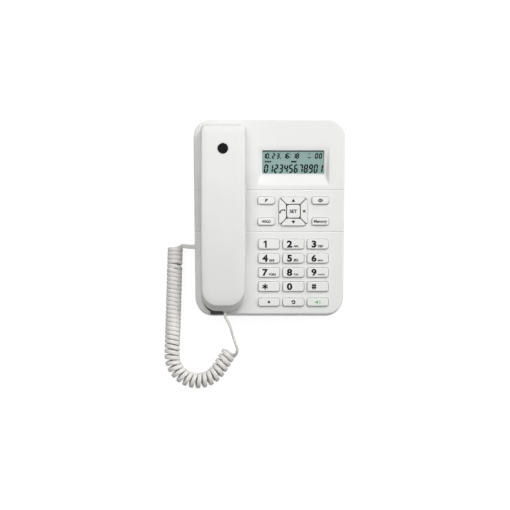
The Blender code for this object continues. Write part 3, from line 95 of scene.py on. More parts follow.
# Keys
PANEL_U = 24.0 * MM
NAV_V = 5.475 * MM
KEY_SIZE = (21.2 * MM, 9.8 * MM)
BOTTOM_KEY_SIZE = (21.2 * MM, 8.0 * MM)
FUNCTION_KEY_SIZE = (16.9 * MM, 7.3 * MM)
KEY_CORNER = 2.2 * MM
KEY_PROUD = 2.2 * MM
KEY_FILLET = 0.95 * MM
NAV_FILLET = 0.45 * MM
KEY_FLANGE = 1.0 * MM
KEY_SKIRT = 4.0 * MM
KEY_RIM = 0.35 * MM
NAV_SIZE = 28.6 * MM
NAV_CHAMFER = 3.2 * MM
NAV_GAP = 0.8 * MM
ARROW_CORNER = 1.1 * MM
SET_SIZE = 13.1 * MM
SET_CORNER = 2.3 * MM
INK_LIFT = 0.02 * MM
PAD_WAYS = {"up": (0, 1), "call": (-1, 0), "down": (0, -1), "delete": (1, 0)}

# Prints, with places and sizes of the number keys' signs in millimetres
NUMBER_X = -3.8
NUMBER_HEIGHT = 7.1
NUMBER_BOLD = 0.045
NUMBER_STRETCH = 1.15
LETTERS_X = 0.1
LETTERS_Y = -2.2
LETTER_WIDTH = 1.72
LETTER_BOLD = 0.05
SPEAKER_ICON = 1.05
LETTERS = {
    "2": "ABC", "3": "DEF", "4": "GHI", "5": "JKL", "6": "MNO", "7": "PQRS", "8": "TUV", "9": "WXYZ",
}
WORDS = {
    "pause": {"text": "P", "height": 3.4 * MM, "bold": 0.065, "slant": 0.25},
    "hold": {"text": "HOLD", "width": 8.8 * MM, "bold": 0.055},
    "memory": {"text": "Memory", "centre": (0, -0.2 * MM), "width": 13.2 * MM, "bold": 0.038},
    "set": {"text": "SET", "width": 7.2 * MM, "bold": 0.04},
}

# Display
RECESS_REAR_V = 70.275 * MM
RECESS_LENGTH = 36.8 * MM
RECESS_WIDTH = 71.0 * MM
RECESS_LEDGE = 7.2 * MM
RECESS_DRAFT = 3.0 * MM
RECESS_SOFT_REAR = 2.5 * MM
RECESS_SOFT_FRONT = 3.4 * MM
RECESS_SOFT_SIDE = 1.2 * MM
RECESS_MARGIN = 0.8 * MM
RECESS_REAR_MARGIN = 1.0 * MM
RECESS_BLEND = 6
RECESS_GRID = (90, 50)
DISPLAY_LEAN = math.radians(10.0)
DISPLAY_WIDTH = 62.3 * MM
DISPLAY_LENGTH = 23.6 * MM
DISPLAY_TOP_MARGIN = 3.8 * MM
DISPLAY_FLOOR = 1.2 * MM
DISPLAY_CORNER = 1.2 * MM
DISPLAY_LAP = 1.6 * MM
WINDOW_SINK = 0.2 * MM
GLASS_THICKNESS = 2.8 * MM
GLASS_EDGE = 0.2 * MM
DISPLAY_POCKET_DEPTH = 14.0 * MM
RECESS_DEPTH = (RECESS_LENGTH - RECESS_LEDGE) * math.tan(DISPLAY_LEAN)

# Display figures: places in pixels of the view, widths, heights and strokes in millimetres
TOP_PAIRS = {
    "10": (264.5, 267.7), "23": (273.8, 278.25), "16": (285.1, 288.0), "18": (294.7, 298.1),
    "00": (317.4, 321.3),
}
TOP_ROW_PIXEL = 156.1
TOP_FIGURE = (3.3, 5.8, 1.25)
TOP_DOT_PIXELS = ((270.2, 158.4), (280.75, 158.4), (290.5, 154.6), (290.5, 157.4), (309.9, 154.0))
TOP_DOT = (1.1, 1.1)
TOP_DASH_PIXEL = (309.9, 157.7)
TOP_DASH = (3.4, 1.0)
MARK_SPANS = ((264.5, 271.6), (291.6, 297.0))
MARK_ROW_PIXEL = 161.8
MARKS = 4
MARK = (1.5, 1.7)
NUMBER_ROW_PIXEL = (266.2, 168.7)
NUMBER_ROW_PITCH = 5.05
NUMBER_FIGURE = (4.2, 8.8, 1.5)
# Painted shadow of the window's rim along the crystal's top edge: height and inset in millimetres
PAINTED_TOP_SHADOW = 1.3
PAINTED_TOP_SHADOW_INSET = 0.2
BLOCK_CORNER = 0.3
FIGURE_SLANT = 0.12
SEGMENT_GAP = 0.06
SEGMENT_TIP = 0.15
SEGMENTS = {
    "0": "abcdef", "1": "bc", "2": "abged", "3": "abgcd", "4": "fgbc",
    "5": "afgcd", "6": "afgedc", "7": "abc", "8": "abcdefg", "9": "abcdfg",
}

# Handset
HANDSET_U = -45.85 * MM
HANDSET_V = -0.95 * MM
HANDSET_WIDTH = 44.8 * MM
HANDSET_LENGTH = 185.25 * MM
HANDSET_SEAM = 12.0 * MM
HANDSET_TOP = 25.0 * MM
HANDSET_ARCH = 4.0 * MM
HANDSET_FRONT_CORNER = 16.0 * MM
HANDSET_REAR_CORNER = 5.5 * MM
HANDSET_ROUND = 2.2 * MM
HANDSET_WALL = 2.0 * MM
HANDSET_CEILING = 0.9 * MM
HANDSET_DRAFT = 0.6 * MM
HANDSET_FRONT_SLOPE = 4.8 * MM
HANDSET_REAR_SLOPE = 2.5 * MM
HANDSET_NARROWING = 1.3 * MM
NARROWING_START = -10.0 * MM
HANDSET_CROWN_REACH = 8.5 * MM
HANDSET_FILLET_ANGLE = math.radians(80.0)
UNDER_ROUND = 2.5 * MM
GRIP_UNDERSIDE = 8.0 * MM
END_UNDERSIDE = 1.0 * MM
GRIP_HALF = 31.0 * MM
GRIP_RAMP = 14.0 * MM
EAR_BUMP = (36.0 * MM, 39.0 * MM)
MIC_BUMP = (33.0 * MM, 36.0 * MM)
EAR_B = 69.5 * MM
MIC_B = -68.0 * MM
BUMP_CORNER = 10.0 * MM
BUMP_SOFT = 2.5 * MM
WELL_DEPTH = 10.0 * MM
WELL_WALL = 1.8 * MM
WELL_RIM = 1.0 * MM
WELL_FOOT = 1.5 * MM
BUMP_BOTTOM = -WELL_DEPTH + GAP
NOTCH_WIDTH = 15.5 * MM
NOTCH_LENGTH = 6.5 * MM
NOTCH_DEPTH = 6.0 * MM
NOTCH_CORNER = 2.0 * MM
NOTCH_REAR_CORNER = 5.0 * MM
NOTCH_RIM = 0.8 * MM
NOTCH_OFFSET = -5.2 * MM
CREASE_POINTS = 24
CREASE_REACH = 6.0 * MM
CREASE_INNER = 3.0 * MM
CREASE_DEPTH = 1.5 * MM
# Share of the crease's corner from which its deep end is painted dark as shade
CREASE_PAINTED_SHADE_SHARE = 0.45
CREASE_START_SHARE = 0.1
CREASE_FLARE = 4
CREASE_DEEPENING = 1.5
CREASE_SHOULDER = (0.75, 0.4)
BADGE_B = 67.425 * MM
BADGE_RADIUS = 5.1 * MM
BADGE_THICKNESS = 1.0 * MM
BADGE_SINK = 0.8 * MM
BADGE_ROUND = 0.3 * MM
BADGE_RIM = 0.25 * MM

# Hook, screws, sockets and plugs
HOOK_TRAVEL = 3.0 * MM
HOOK_RADIUS = 3.2 * MM
HOOK_ROUND = 1.4 * MM
HOOK_RIM = 0.5 * MM
HOOK_FLANGE_RADIUS = 6.5 * MM
HOOK_FLANGE_THICKNESS = 1.2 * MM
HOOK_STUB_RADIUS = 1.4 * MM
HOOK_STUB_BOTTOM = -9.8 * MM
HOOK_FROM_MIDDLE = 12.0 * MM
SCREW_RADIUS = 1.5 * MM
SCREW_HEAD_RADIUS = 2.75 * MM
SCREW_HEAD = 1.8 * MM
SCREW_LENGTH = 12.0 * MM
SCREW_TIP = 1.5 * MM
SCREW_TIP_SHARE = 0.3
SCREW_CROSS = ((1.5 * MM, 0.4536 * MM, -0.2 * MM), (0.9 * MM, 0.324 * MM, 1.0 * MM))
SCREW_INSET = 9.6 * MM
HANDSET_SCREW_LENGTH = 8.0 * MM
HANDSET_SCREW_B = 26.0 * MM
POST_RADIUS = 3.6 * MM
BOSS_LAP = 0.4 * MM
JACK_WIDTH = 10.6 * MM
JACK_HEIGHT = 8.0 * MM
JACK_HOLE_REACH = 6.0 * MM
JACK_HOLE_CORNER = 0.5 * MM
JACK_CAVITY_WIDTH = 8.3 * MM
JACK_CAVITY_HEIGHT = 6.2 * MM
JACK_CAVITY_DEPTH = 10.5 * MM
LINE_JACK_WIDTH = 13.0 * MM
LINE_JACK_X = 10.0 * MM
LINE_JACK_Z = 15.5 * MM
PLUG_PROUD = 2.7 * MM
PLUG_NOSE = 0.8 * MM
PLUG_NECK_INSET = 1.5 * MM
PLUG_SHOULDER = (-0.6 * MM, 0.1 * MM)
PLUG_CORNER = 0.6 * MM
CONTACTS = 4
CONTACT_PITCH = 1.3 * MM
CONTACT_SIZE = 0.4 * MM
CONTACT_CORNER = 0.15 * MM
CONTACT_BEND = ((-2.0 * MM, 0.25 * MM), (-3.2 * MM, 1.2 * MM))
CONTACT_DROP = 3.4 * MM
BASE_JACK_Y = -27.4 * MM
BASE_JACK_Z = 15.0 * MM
HANDSET_JACK_OFFSET = 1.9 * MM
HANDSET_JACK_SINK = 0.9 * MM
HANDSET_JACK_C = 7.3 * MM
SPEAKER_RADIUS = 20.0 * MM
SPEAKER_Y = 52.0 * MM
SOUND_SLOT_WIDTH = 2.4 * MM
SOUND_SLOT_PITCH = 5.0 * MM
SOUND_SLOT_SHARES = (0.48, 0.57, 0.66, 0.57, 0.48)
EAR_HOLE_RADIUS = 1.1 * MM
EAR_HOLE_RING = 6.0 * MM
MIC_SLOT = (1.4 * MM, 7.0 * MM)
MIC_SLOT_PITCH = 4.0 * MM
SLOT_EASE = 0.01 * MM
BASE_CAPSULE_X = 42.0 * MM
BASE_CAPSULE_Z = 13.0 * MM
BASE_CAPSULE_HOLE = 0.8 * MM

# Coiled cord
CORD_DIAMETER = 3.0 * MM
CORD_WIDTH = 4.1 * MM
CORD_THICKNESS = 2.7 * MM
CORD_SQUARENESS = 0.64
TAIL_TURN_SHARE = 0.35
COIL_RADIUS = 6.4 * MM
COIL_FROM_BASE = 20.5 * MM
COIL_AHEAD = 1.5 * MM
COIL_RUN = 110.5 * MM
COIL_LEAN = 2.2 * MM
COIL_BEND_RADIUS = 25.6 * MM
COIL_BEND_ANGLE = math.radians(147.5)
COIL_END_RUN = 19.5 * MM
COIL_TURNS = 40.5
COIL_TURNS_CLOSE = 23
COIL_TURNS_LOOSENING = 2
COIL_LOOSE_SHARE = 1.35
COIL_SLIP = 1.3 * MM
COIL_SLIP_TURN = 4.75
COIL_SLIP_SPAN = 0.15
COIL_LEVEL_SHARE = 1.0
COIL_STEEP_SHARE = 0.45
TABLE_CLEARANCE = 0.2 * MM
POINTS_PER_CURL = 24
CORD_SIDES = 20
ROUTE_STEPS = 6
STRAIGHT_RUN = 4.0 * MM
LEAD_SHARE = 0.59
TAIL_ROUTE = (
    (0.0, (1.6, 2.2, 4.6)), (0.0, (2.2, 6.6, 8.0)), (0.40, (2.6, 0, 3.2)), (0.72, (1.6, 0, 2.4)),
)

# Camera: one pixel of the 510-pixel square view is one millimetre at this distance
CAMERA_DISTANCE = 1.2
CAMERA_ELEVATION = math.radians(82.0)
VIEW_SIZE = 0.510
FACE_MIDDLE_PIXEL = (269.3, 216.85)
DISPLAY_MIDDLE_PIXEL = (293.7, 162.1)
DISPLAY_PIXELS = (63.0, 23.35)

# Table, surroundings and lamps, with each lamp's place, size and power
WHITE = (1.0, 1.0, 1.0, 1.0)
TABLE_REACH = 3.0
TABLE_GREY = 0.20
TABLE_GLOW = 0.90
SKY_AXIS = (0.0, 0.7, 0.7)
SKY_LEVELS = (0.07, 0.40)
LAMP_TARGET = Vector((0.0, 0.0, 0.02))
LAMPS = {
    "key_lamp": ((0.55, 0.80, 1.05), 0.45, 8.6),
    "side_lamp": ((1.00, 0.05, 0.50), 0.45, 2.6),
    "top_lamp": ((-0.35, 0.30, 1.4), 1.0, 7.4),
}

# Fineness of the meshes
SMOOTH_ANGLE = math.radians(32)
CORNER_STEPS = 16
FILLET_STEPS = 8
KEY_STEPS = 6
ROUND_STEPS = 48
CUT_STEPS = 5
BUMP_STEPS = 10
GROOVE_STEPS = 6
CUT_LIFT = 0.015 * MM
CUT_TOP = 4 * WALL
TUB_TOP = -0.7 * WALL

SKIRT_TOP = -WALL - GAP
FLOOR_TOP = FOOT_HEIGHT + FLOOR
SCREW_HEAD_SEAT = FLOOR_TOP + 0.5 * MM
SCREW_X = BASE_WIDTH / 2 - SCREW_INSET
SCREW_Y = BASE_LENGTH / 2 - SCREW_INSET
CORNERS = {
    "front_left": (-1, -1), "rear_left": (-1, 1), "front_right": (1, -1), "rear_right": (1, 1),
}


def handset_top(b):
    """Height of the handset's arched back."""
    return HANDSET_TOP - HANDSET_ARCH * (2 * b / HANDSET_LENGTH) ** 2


def turned(angle, axis):
    return Matrix.Rotation(angle, 4, axis)


BADGE_SLOPE = math.atan(-8 * HANDSET_ARCH * BADGE_B / HANDSET_LENGTH**2)
FACE = Matrix.Translation((0, 0, FACE_MIDDLE_HEIGHT)) @ turned(FACE_TILT, "X")
DISPLAY = FACE @ Matrix.Translation((PANEL_U, RECESS_REAR_V, 0)) @ turned(DISPLAY_LEAN, "X")
DISPLAY = DISPLAY @ Matrix.Translation((0, -DISPLAY_TOP_MARGIN - DISPLAY_LENGTH / 2, 0))
HANDSET = FACE @ Matrix.Translation((HANDSET_U, HANDSET_V, 0))
BADGE = HANDSET @ Matrix.Translation((0, BADGE_B, handset_top(BADGE_B))) @ turned(BADGE_SLOPE, "X")


def face_height(y):
    """Height of the sloping face above the table."""
    return FACE_MIDDLE_HEIGHT + y * math.tan(FACE_TILT)


def side_at(y):
    """Distance of the base's side wall from the middle plane."""
    return BASE_WIDTH / 2 * (1 + BASE_TAPER * y / (BASE_LENGTH / 2))


def base_jack_place():
    mouth = (-side_at(BASE_JACK_Y) + GAP, BASE_JACK_Y, BASE_JACK_Z)
    return Matrix.Translation(mouth) @ turned(math.pi / 2, "Z")


def line_jack_place():
    return Matrix.Translation((LINE_JACK_X, BASE_LENGTH / 2 - GAP, LINE_JACK_Z))


def handset_jack_place():
    mouth = (HANDSET_JACK_OFFSET, -HANDSET_LENGTH / 2 + HANDSET_JACK_SINK + GAP, HANDSET_JACK_C)
    return HANDSET @ Matrix.Translation(mouth) @ turned(math.pi, "Z")


# Camera, table and lamps


def add_camera():
    """The photograph's view: from above and a little in front, framed as a square."""
    right = Vector((1, 0, 0))
    up = Vector((0, math.sin(CAMERA_ELEVATION), math.cos(CAMERA_ELEVATION)))
    back = right.cross(up)
    across = FACE_MIDDLE_PIXEL[0] * MM - VIEW_SIZE / 2
    down = FACE_MIDDLE_PIXEL[1] * MM - VIEW_SIZE / 2
    target = Vector((0, 0, FACE_MIDDLE_HEIGHT)) - right * across + up * down
    data = bpy.data.cameras.new("camera")
    data.sensor_width = 36.0
    data.lens = data.sensor_width * CAMERA_DISTANCE / VIEW_SIZE
    data.clip_start = 0.05
    camera = bpy.data.objects.new("camera", data)
    camera.rotation_mode = "QUATERNION"
    camera.rotation_quaternion = (-back).to_track_quat("-Z", "Y")
    camera.location = target + back * CAMERA_DISTANCE
    bpy.context.scene.collection.objects.link(camera)
    bpy.context.scene.camera = camera


def node(tree, kind, **inputs):
    """A shader node with some of its input values set."""
    item = tree.nodes.new(kind)
    for name, value in inputs.items():
        item.inputs[name.replace("_", " ")].default_value = value
    return item


def link(tree, source, output, target, entry):
    tree.links.new(source.outputs[output], target.inputs[entry])


def seen_directly(tree):
    """1 for rays that show the surface as it is: to the eye, in gloss and through glass."""
    rays = tree.nodes.new("ShaderNodeLightPath")
    seen = rays.outputs["Is Camera Ray"]
    for name in ("Is Glossy Ray", "Is Transmission Ray"):
        either = tree.nodes.new("ShaderNodeMath")
        either.operation = "MAXIMUM"
        tree.links.new(seen, either.inputs[0])
        tree.links.new(rays.outputs[name], either.inputs[1])
        seen = either.outputs[0]
    return seen


def add_surroundings():
    """White to the eye; as a light, brighter from the rear and from above."""
    world = bpy.data.worlds.new("surroundings")
    world.use_nodes = True
    tree = world.node_tree
    background = tree.nodes["Background"]
    background.inputs["Color"].default_value = WHITE
    way = tree.nodes.new("ShaderNodeTexCoord")
    rearward = tree.nodes.new("ShaderNodeVectorMath")
    rearward.operation = "DOT_PRODUCT"
    rearward.inputs[1].default_value = SKY_AXIS
    link(tree, way, "Generated", rearward, 0)
    low, high = SKY_LEVELS
    shade = node(tree, "ShaderNodeMapRange", From_Min=-1.0, From_Max=1.0, To_Min=low, To_Max=high)
    link(tree, rearward, "Value", shade, "Value")
    level = node(tree, "ShaderNodeMapRange", To_Max=1.0)
    link(tree, shade, "Result", level, "To Min")
    tree.links.new(seen_directly(tree), level.inputs["Value"])
    link(tree, level, "Result", background, "Strength")
    bpy.context.scene.world = world


def add_table():
    """White table that keeps the telephone's soft shadow."""
    bm = bmesh.new()
    bmesh.ops.create_grid(bm, x_segments=1, y_segments=1, size=TABLE_REACH)
    table = make_object("table_top", bm)
    look = bpy.data.materials.new("table_white")
    look.use_nodes = True
    tree = look.node_tree
    tree.nodes.clear()
    diffuse = node(tree, "ShaderNodeBsdfDiffuse", Color=(TABLE_GREY, TABLE_GREY, TABLE_GREY, 1.0))
    glow = node(tree, "ShaderNodeEmission", Color=WHITE)
    amount = tree.nodes.new("ShaderNodeMath")
    amount.operation = "MULTIPLY"
    amount.inputs[1].default_value = TABLE_GLOW
    tree.links.new(seen_directly(tree), amount.inputs[0])
    both = tree.nodes.new("ShaderNodeAddShader")
    output = tree.nodes.new("ShaderNodeOutputMaterial")
    link(tree, amount, 0, glow, "Strength")
    link(tree, diffuse, 0, both, 0)
    link(tree, glow, 0, both, 1)
    link(tree, both, 0, output, "Surface")
    table.data.materials.append(look)


def add_lights():
    """Soft square lamps aimed at the telephone."""
    for name, (place, size, power) in LAMPS.items():
        data = bpy.data.lights.new(name, "AREA")
        data.size = size
        data.energy = power
        lamp = bpy.data.objects.new(name, data)
        lamp.location = place
        lamp.rotation_mode = "QUATERNION"
        lamp.rotation_quaternion = (LAMP_TARGET - Vector(place)).to_track_quat("-Z", "Y")
        bpy.context.scene.collection.objects.link(lamp)


# Materials


def surface(
    name, color, roughness, spread=0.03, patch=45.0, grain=2200.0, bump=0.04, depth=0.05,
    metallic=0.0, alpha=1.0, stretch=(1.0, 1.0, 1.0), specular=0.5,
):
    """A procedural surface: cloudy colour, uneven gloss and a fine moulded grain."""
    look = bpy.data.materials.new(name)
    look.use_nodes = True
    tree = look.node_tree
    shader = tree.nodes["Principled BSDF"]
    shader.inputs["Metallic"].default_value = metallic
    shader.inputs["Alpha"].default_value = alpha
    shader.inputs["Specular IOR Level"].default_value = specular
    place = tree.nodes.new("ShaderNodeTexCoord")
    scaled = node(tree, "ShaderNodeMapping", Scale=stretch)
    link(tree, place, "Object", scaled, "Vector")

    clouds = node(tree, "ShaderNodeTexNoise", Scale=patch, Detail=3.0)
    link(tree, scaled, "Vector", clouds, "Vector")
    ramp = tree.nodes.new("ShaderNodeValToRGB")
    for element, position, share in zip(ramp.color_ramp.elements, (0.3, 0.7), (-spread, spread)):
        element.position = position
        element.color = (*[min(c * (1 + share), 1.0) for c in color], 1.0)
    link(tree, clouds, "Fac", ramp, "Fac")
    link(tree, ramp, "Color", shader, "Base Color")

    fine = node(tree, "ShaderNodeTexNoise", Scale=grain, Detail=2.0)
    link(tree, scaled, "Vector", fine, "Vector")
    gloss = node(tree, "ShaderNodeMapRange", To_Min=roughness - depth, To_Max=roughness + depth)
    link(tree, fine, "Fac", gloss, "Value")
    link(tree, gloss, "Result", shader, "Roughness")
    relief = node(tree, "ShaderNodeBump", Strength=bump, Distance=0.1 * MM)
    link(tree, fine, "Fac", relief, "Height")
    link(tree, relief, "Normal", shader, "Normal")
    return look


def make_looks():
    """All materials, by the record's slots where they have one."""
    colors = {row["slot"]: row["base_color"][:3] for row in frame["record"]["materials"]}
    return {
        "shell": surface("shell_satin", colors["shell"], 0.42, 0.012),
        "underside": surface("underside_matt", colors["underside"], 0.55, 0.02, bump=0.10),
        "key": surface("key_satin", colors["key"], 0.36, 0.012, bump=0.03),
        "badge": surface("badge_black", (0.006, 0.006, 0.007), 0.35, 0.2, bump=0.02, specular=0.05),
        "clear_plastic": surface("plug_clear", colors["clear_plastic"], 0.12, bump=0.02, alpha=0.35),
        "display_glass": surface("liquid_crystal", (0.31, 0.46, 0.43), 0.22, 0.03, 30.0, bump=0.0),
        "dark_plastic": surface("dark_plastic", colors["dark_plastic"], 0.5, 0.1),
        "board": surface("board_green", colors["board"], 0.45, 0.35, 220.0, 900.0, 0.2),
        "silicone": surface("silicone_grey", colors["silicone"], 0.7, 0.04),
        "steel": surface("zinc_steel", colors["steel"], 0.32, 0.08, 300.0, metallic=1.0),
        "capsule": surface("drawn_can", colors["capsule"], 0.35, 0.05, metallic=1.0, stretch=(1, 1, 8)),
        "speaker": surface("speaker_frame", colors["speaker"], 0.45, 0.15, metallic=0.4),
        "rubber": surface("foot_rubber", colors["rubber"], 0.85, 0.12, 400.0, 3500.0, 0.3),
        "socket": surface("socket_grey", colors["socket"], 0.45, 0.05),
        "cord": surface("cord_vinyl", (0.80, 0.79, 0.765), 0.48, 0.03, 90.0, 1500.0, 0.08),
        "window": surface("window_clear", (0.05, 0.06, 0.06), 0.10, depth=0.02, bump=0.0, alpha=0.03),
        "ink": surface("key_ink", (0.008, 0.008, 0.009), 0.6, 0.2, 800.0, specular=0.1),
        "grey_ink": surface("grey_ink", (0.03, 0.03, 0.032), 0.6, 0.2, 800.0, specular=0.1),
        "green_ink": surface("green_ink", (0.16, 0.42, 0.20), 0.6, 0.1, 800.0, specular=0.1),
        "green_key": surface("green_key", (0.78, 0.83, 0.77), 0.36, 0.012, bump=0.03),
        "segment": surface("crystal_dark", (0.003, 0.010, 0.008), 0.4, 0.1, specular=0.1),
        "brass": surface("contact_gold", (0.75, 0.55, 0.22), 0.25, 0.05, metallic=1.0),
    }


# Mesh building


def make_object(name, bm, place=None):
    """Turn a bmesh into a named, smooth-shaded object with outward normals."""
    if place is not None:
        bm.transform(place)
    bmesh.ops.recalc_face_normals(bm, faces=bm.faces)
    mesh = bpy.data.meshes.new(name)
    bm.to_mesh(mesh)
    bm.free()
    mesh.shade_smooth()
    mesh.set_sharp_from_angle(angle=SMOOTH_ANGLE)
    item = bpy.data.objects.new(name, mesh)
    bpy.context.scene.collection.objects.link(item)
    return item


def carve(item, operation, bm, place=None):
    """Join a tool to an object or cut it away, at once."""
    tool = make_object("tool", bm, place)
    step = item.modifiers.new("step", "BOOLEAN")
    step.operation = operation
    step.solver = "EXACT"
    step.object = tool
    graph = bpy.context.evaluated_depsgraph_get()
    mesh = bpy.data.meshes.new_from_object(item.evaluated_get(graph))
    item.modifiers.clear()
    old = item.data
    item.data = mesh
    mesh.name = item.name
    bpy.data.meshes.remove(old)
    bpy.data.meshes.remove(tool.data)


def dress(item, look, slot, body, *nodes):
    """Give a piece its material, weighted shading, body and the solids it stands for."""
    mesh = item.data
    mesh.materials.clear()
    mesh.materials.append(look)
    mesh.shade_smooth()
    mesh.set_sharp_from_angle(angle=SMOOTH_ANGLE)
    item.modifiers.new("even_shading", "WEIGHTED_NORMAL").keep_sharp = True
    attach(item, body)
    if nodes:
        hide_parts(*nodes)


def paint(item, look, place, chosen):
    """Give a second material to the faces whose middles pass a test in a place's coordinates."""
    item.data.materials.append(look)
    inverse = place.inverted()
    for polygon in item.data.polygons:
        if chosen(*(inverse @ polygon.center)):
            polygon.material_index = 1


def add_ink(name, bm, place, look, body):
    """Flat print or figures on a piece."""
    item = make_object(name, bm, place)
    item.data.materials.append(look)
    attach(item, body)


def mirrored(right):
    return right + [(-x, y) for x, y in reversed(right)]


def rounded_plan(width, length, front_radius, rear_radius, steps, side_points=0):
    """Outline from the front, up the right side and down the left side."""
    right = []
    for start, sign, radius in ((-90, -1, front_radius), (0, 1, rear_radius)):
        for k in range(steps + 1):
            angle = math.radians(start + 90 * k / steps)
            x = width / 2 - radius + radius * math.cos(angle)
            y = sign * (length / 2 - radius) + radius * math.sin(angle)
            right.append((x, y))
        if sign < 0:
            straight = length - front_radius - rear_radius
            for k in range(1, side_points + 1):
                y = front_radius - length / 2 + straight * k / (side_points + 1)
                right.append((width / 2, y))
    return mirrored(right)


def rounded_rectangle(width, length, radius, steps):
    return rounded_plan(width, length, radius, radius, steps)


def circle(radius, steps=ROUND_STEPS, centre=(0, 0)):
    angles = [2 * math.pi * k / steps for k in range(steps)]
    return [(centre[0] + radius * math.cos(a), centre[1] + radius * math.sin(a)) for a in angles]


def moved(outline, x, y):
    return [(px + x, py + y) for px, py in outline]


def at_height(outline, height):
    return [Vector((x, y, height)) for x, y in outline]


def on_slope(outline, height, rise=0.0):
    """Ring over an outline, at a height that depends on y."""
    return [Vector((x, y, height(y) + rise)) for x, y in outline]


def stacked(outline, pairs):
    """Rings from pairs of an outline's inset or growth and a height."""
    return [at_height(outline(change), height) for change, height in pairs]


def add_loft(bm, rings, ladder=False):
    """Close a stack of equal rings; ladder caps suit ends that bend along y."""
    rows = [[bm.verts.new(point) for point in ring] for ring in rings]
    for low, high in zip(rows, rows[1:]):
        for k in range(len(low)):
            bm.faces.new((low[k - 1], low[k], high[k], high[k - 1]))
    for row in (rows[0], rows[-1]):
        if ladder:
            for k in range(len(row) // 2 - 1):
                bm.faces.new((row[k], row[k + 1], row[-2 - k], row[-1 - k]))
        else:
            bm.faces.new(row)


def lofted(name, rings, place=None, ladder=False):
    """A new object from one stack of rings."""
    bm = bmesh.new()
    add_loft(bm, rings, ladder)
    return make_object(name, bm, place)


def add_prism(bm, outline, low, high):
    add_loft(bm, [at_height(outline, low), at_height(outline, high)])


def turned_rings(profile, steps=ROUND_STEPS, centre=(0, 0)):
    """Rings of a turned solid from (radius, height) pairs, bottom to top."""
    return [at_height(circle(radius, steps, centre), height) for radius, height in profile]


def add_cutter(bm, outline, floor, rim, foot=0.0):
    """Cutter for a hole in the face with a rounded mouth, and a rounded foot where it has a floor."""
    pairs = [(0.0, floor)]
    if foot:
        pairs = [(-inset, floor + rise) for rise, inset in fillet(foot, CUT_STEPS)]
    pairs += [(grow, CUT_LIFT - drop) for grow, drop in fillet(rim, CUT_STEPS)]
    pairs.append((rim, CUT_TOP))
    add_loft(bm, stacked(outline, pairs))


def fillet(radius, steps, start=0.0, end=90.0):
    """Pairs of inset and drop along a rounded edge, from its wall to its top."""
    pairs = []
    for k in range(steps + 1):
        angle = math.radians(start + (end - start) * k / steps)
        pairs.append((radius * (1 - math.cos(angle)), radius * (1 - math.sin(angle))))
    return pairs


def shrunk(outline, inset):
    """A convex outline with every edge moved inwards."""
    points = []
    for k, (x, y) in enumerate(outline):
        here = Vector((x, y))
        before = (here - Vector(outline[k - 1])).normalized()
        after = (Vector(outline[(k + 1) % len(outline)]) - here).normalized()
        inward = Vector((-before.y - after.y, before.x + after.x)).normalized()
        share = max(inward.dot(Vector((-before.y, before.x))), 0.3)
        points.append(tuple(here + inward * inset / share))
    return points


def softened(corners, radius, steps):
    """A convex outline with its corners rounded."""
    points = []
    for k, corner in enumerate(corners):
        here = Vector(corner)
        back = (Vector(corners[k - 1]) - here).normalized()
        ahead = (Vector(corners[(k + 1) % len(corners)]) - here).normalized()
        half = back.angle(ahead) / 2
        middle = here + (back + ahead).normalized() * radius / math.sin(half)
        start = here + back * radius / math.tan(half) - middle
        sweep = math.pi - 2 * half
        for j in range(steps + 1):
            turn = Matrix.Rotation(sweep * j / steps, 2)
            points.append(tuple(middle + turn @ start))
    return points


# Base


def base_outline(inset):
    """Plan outline of the base, a little wider at the rear."""
    outline = rounded_rectangle(
        BASE_WIDTH - 2 * inset, BASE_LENGTH - 2 * inset, CORNER_RADIUS - inset, CORNER_STEPS
    )
    return [(x * (1 + BASE_TAPER * y / (BASE_LENGTH / 2)), y) for x, y in outline]


def well_outline(size, b):
    """Function for the outline of a cradle well, in face coordinates."""

    def outline(grow):
        more = WELL_CLEARANCE + grow
        corner = BUMP_CORNER + more
        plan = rounded_rectangle(size[0] + 2 * more, size[1] + 2 * more, corner, BUMP_STEPS)
        return moved(plan, HANDSET_U, HANDSET_V + b)

    return outline


def notch_outline(front):
    """Function for the outline of the cord's notch in the front rim."""

    def outline(grow):
        rear = FACE_FRONT_V + NOTCH_LENGTH + grow
        corners = (NOTCH_CORNER, NOTCH_REAR_CORNER + min(grow, 0.0))
        plan = rounded_plan(NOTCH_WIDTH + 2 * grow, rear - front, *corners, FILLET_STEPS)
        return moved(plan, HANDSET_U + NOTCH_OFFSET, (front + rear) / 2)

    return outline


def nav_outline(grow):
    """Square opening of the four-way pad with its corners cut off."""
    half = NAV_SIZE / 2 + grow
    cut = half - NAV_CHAMFER + grow * (math.sqrt(2) - 1) - grow
    right = [(cut, -half), (half, -cut), (half, cut), (cut, half)]
    return moved(softened(mirrored(right), ARROW_CORNER + grow, 3), PANEL_U, NAV_V)


def key_place(name):
    """Middle of a key in face coordinates."""
    low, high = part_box(name)
    middle = FACE.inverted() @ ((Vector(low) + Vector(high)) / 2)
    return middle.x, middle.y


def key_sizes():
    """Size of every rectangular key."""
    sizes = {f"key_{name}": KEY_SIZE for name in (*range(10), "star", "hash")}
    for name in ("mute", "redial", "speaker"):
        sizes[f"key_{name}"] = BOTTOM_KEY_SIZE
    for name in ("pause", "volume", "hold", "memory"):
        sizes[f"key_{name}"] = FUNCTION_KEY_SIZE
    return sizes


def key_outline(size, grow=0.0):
    return rounded_rectangle(size[0] + 2 * grow, size[1] + 2 * grow, KEY_CORNER + grow, KEY_STEPS)


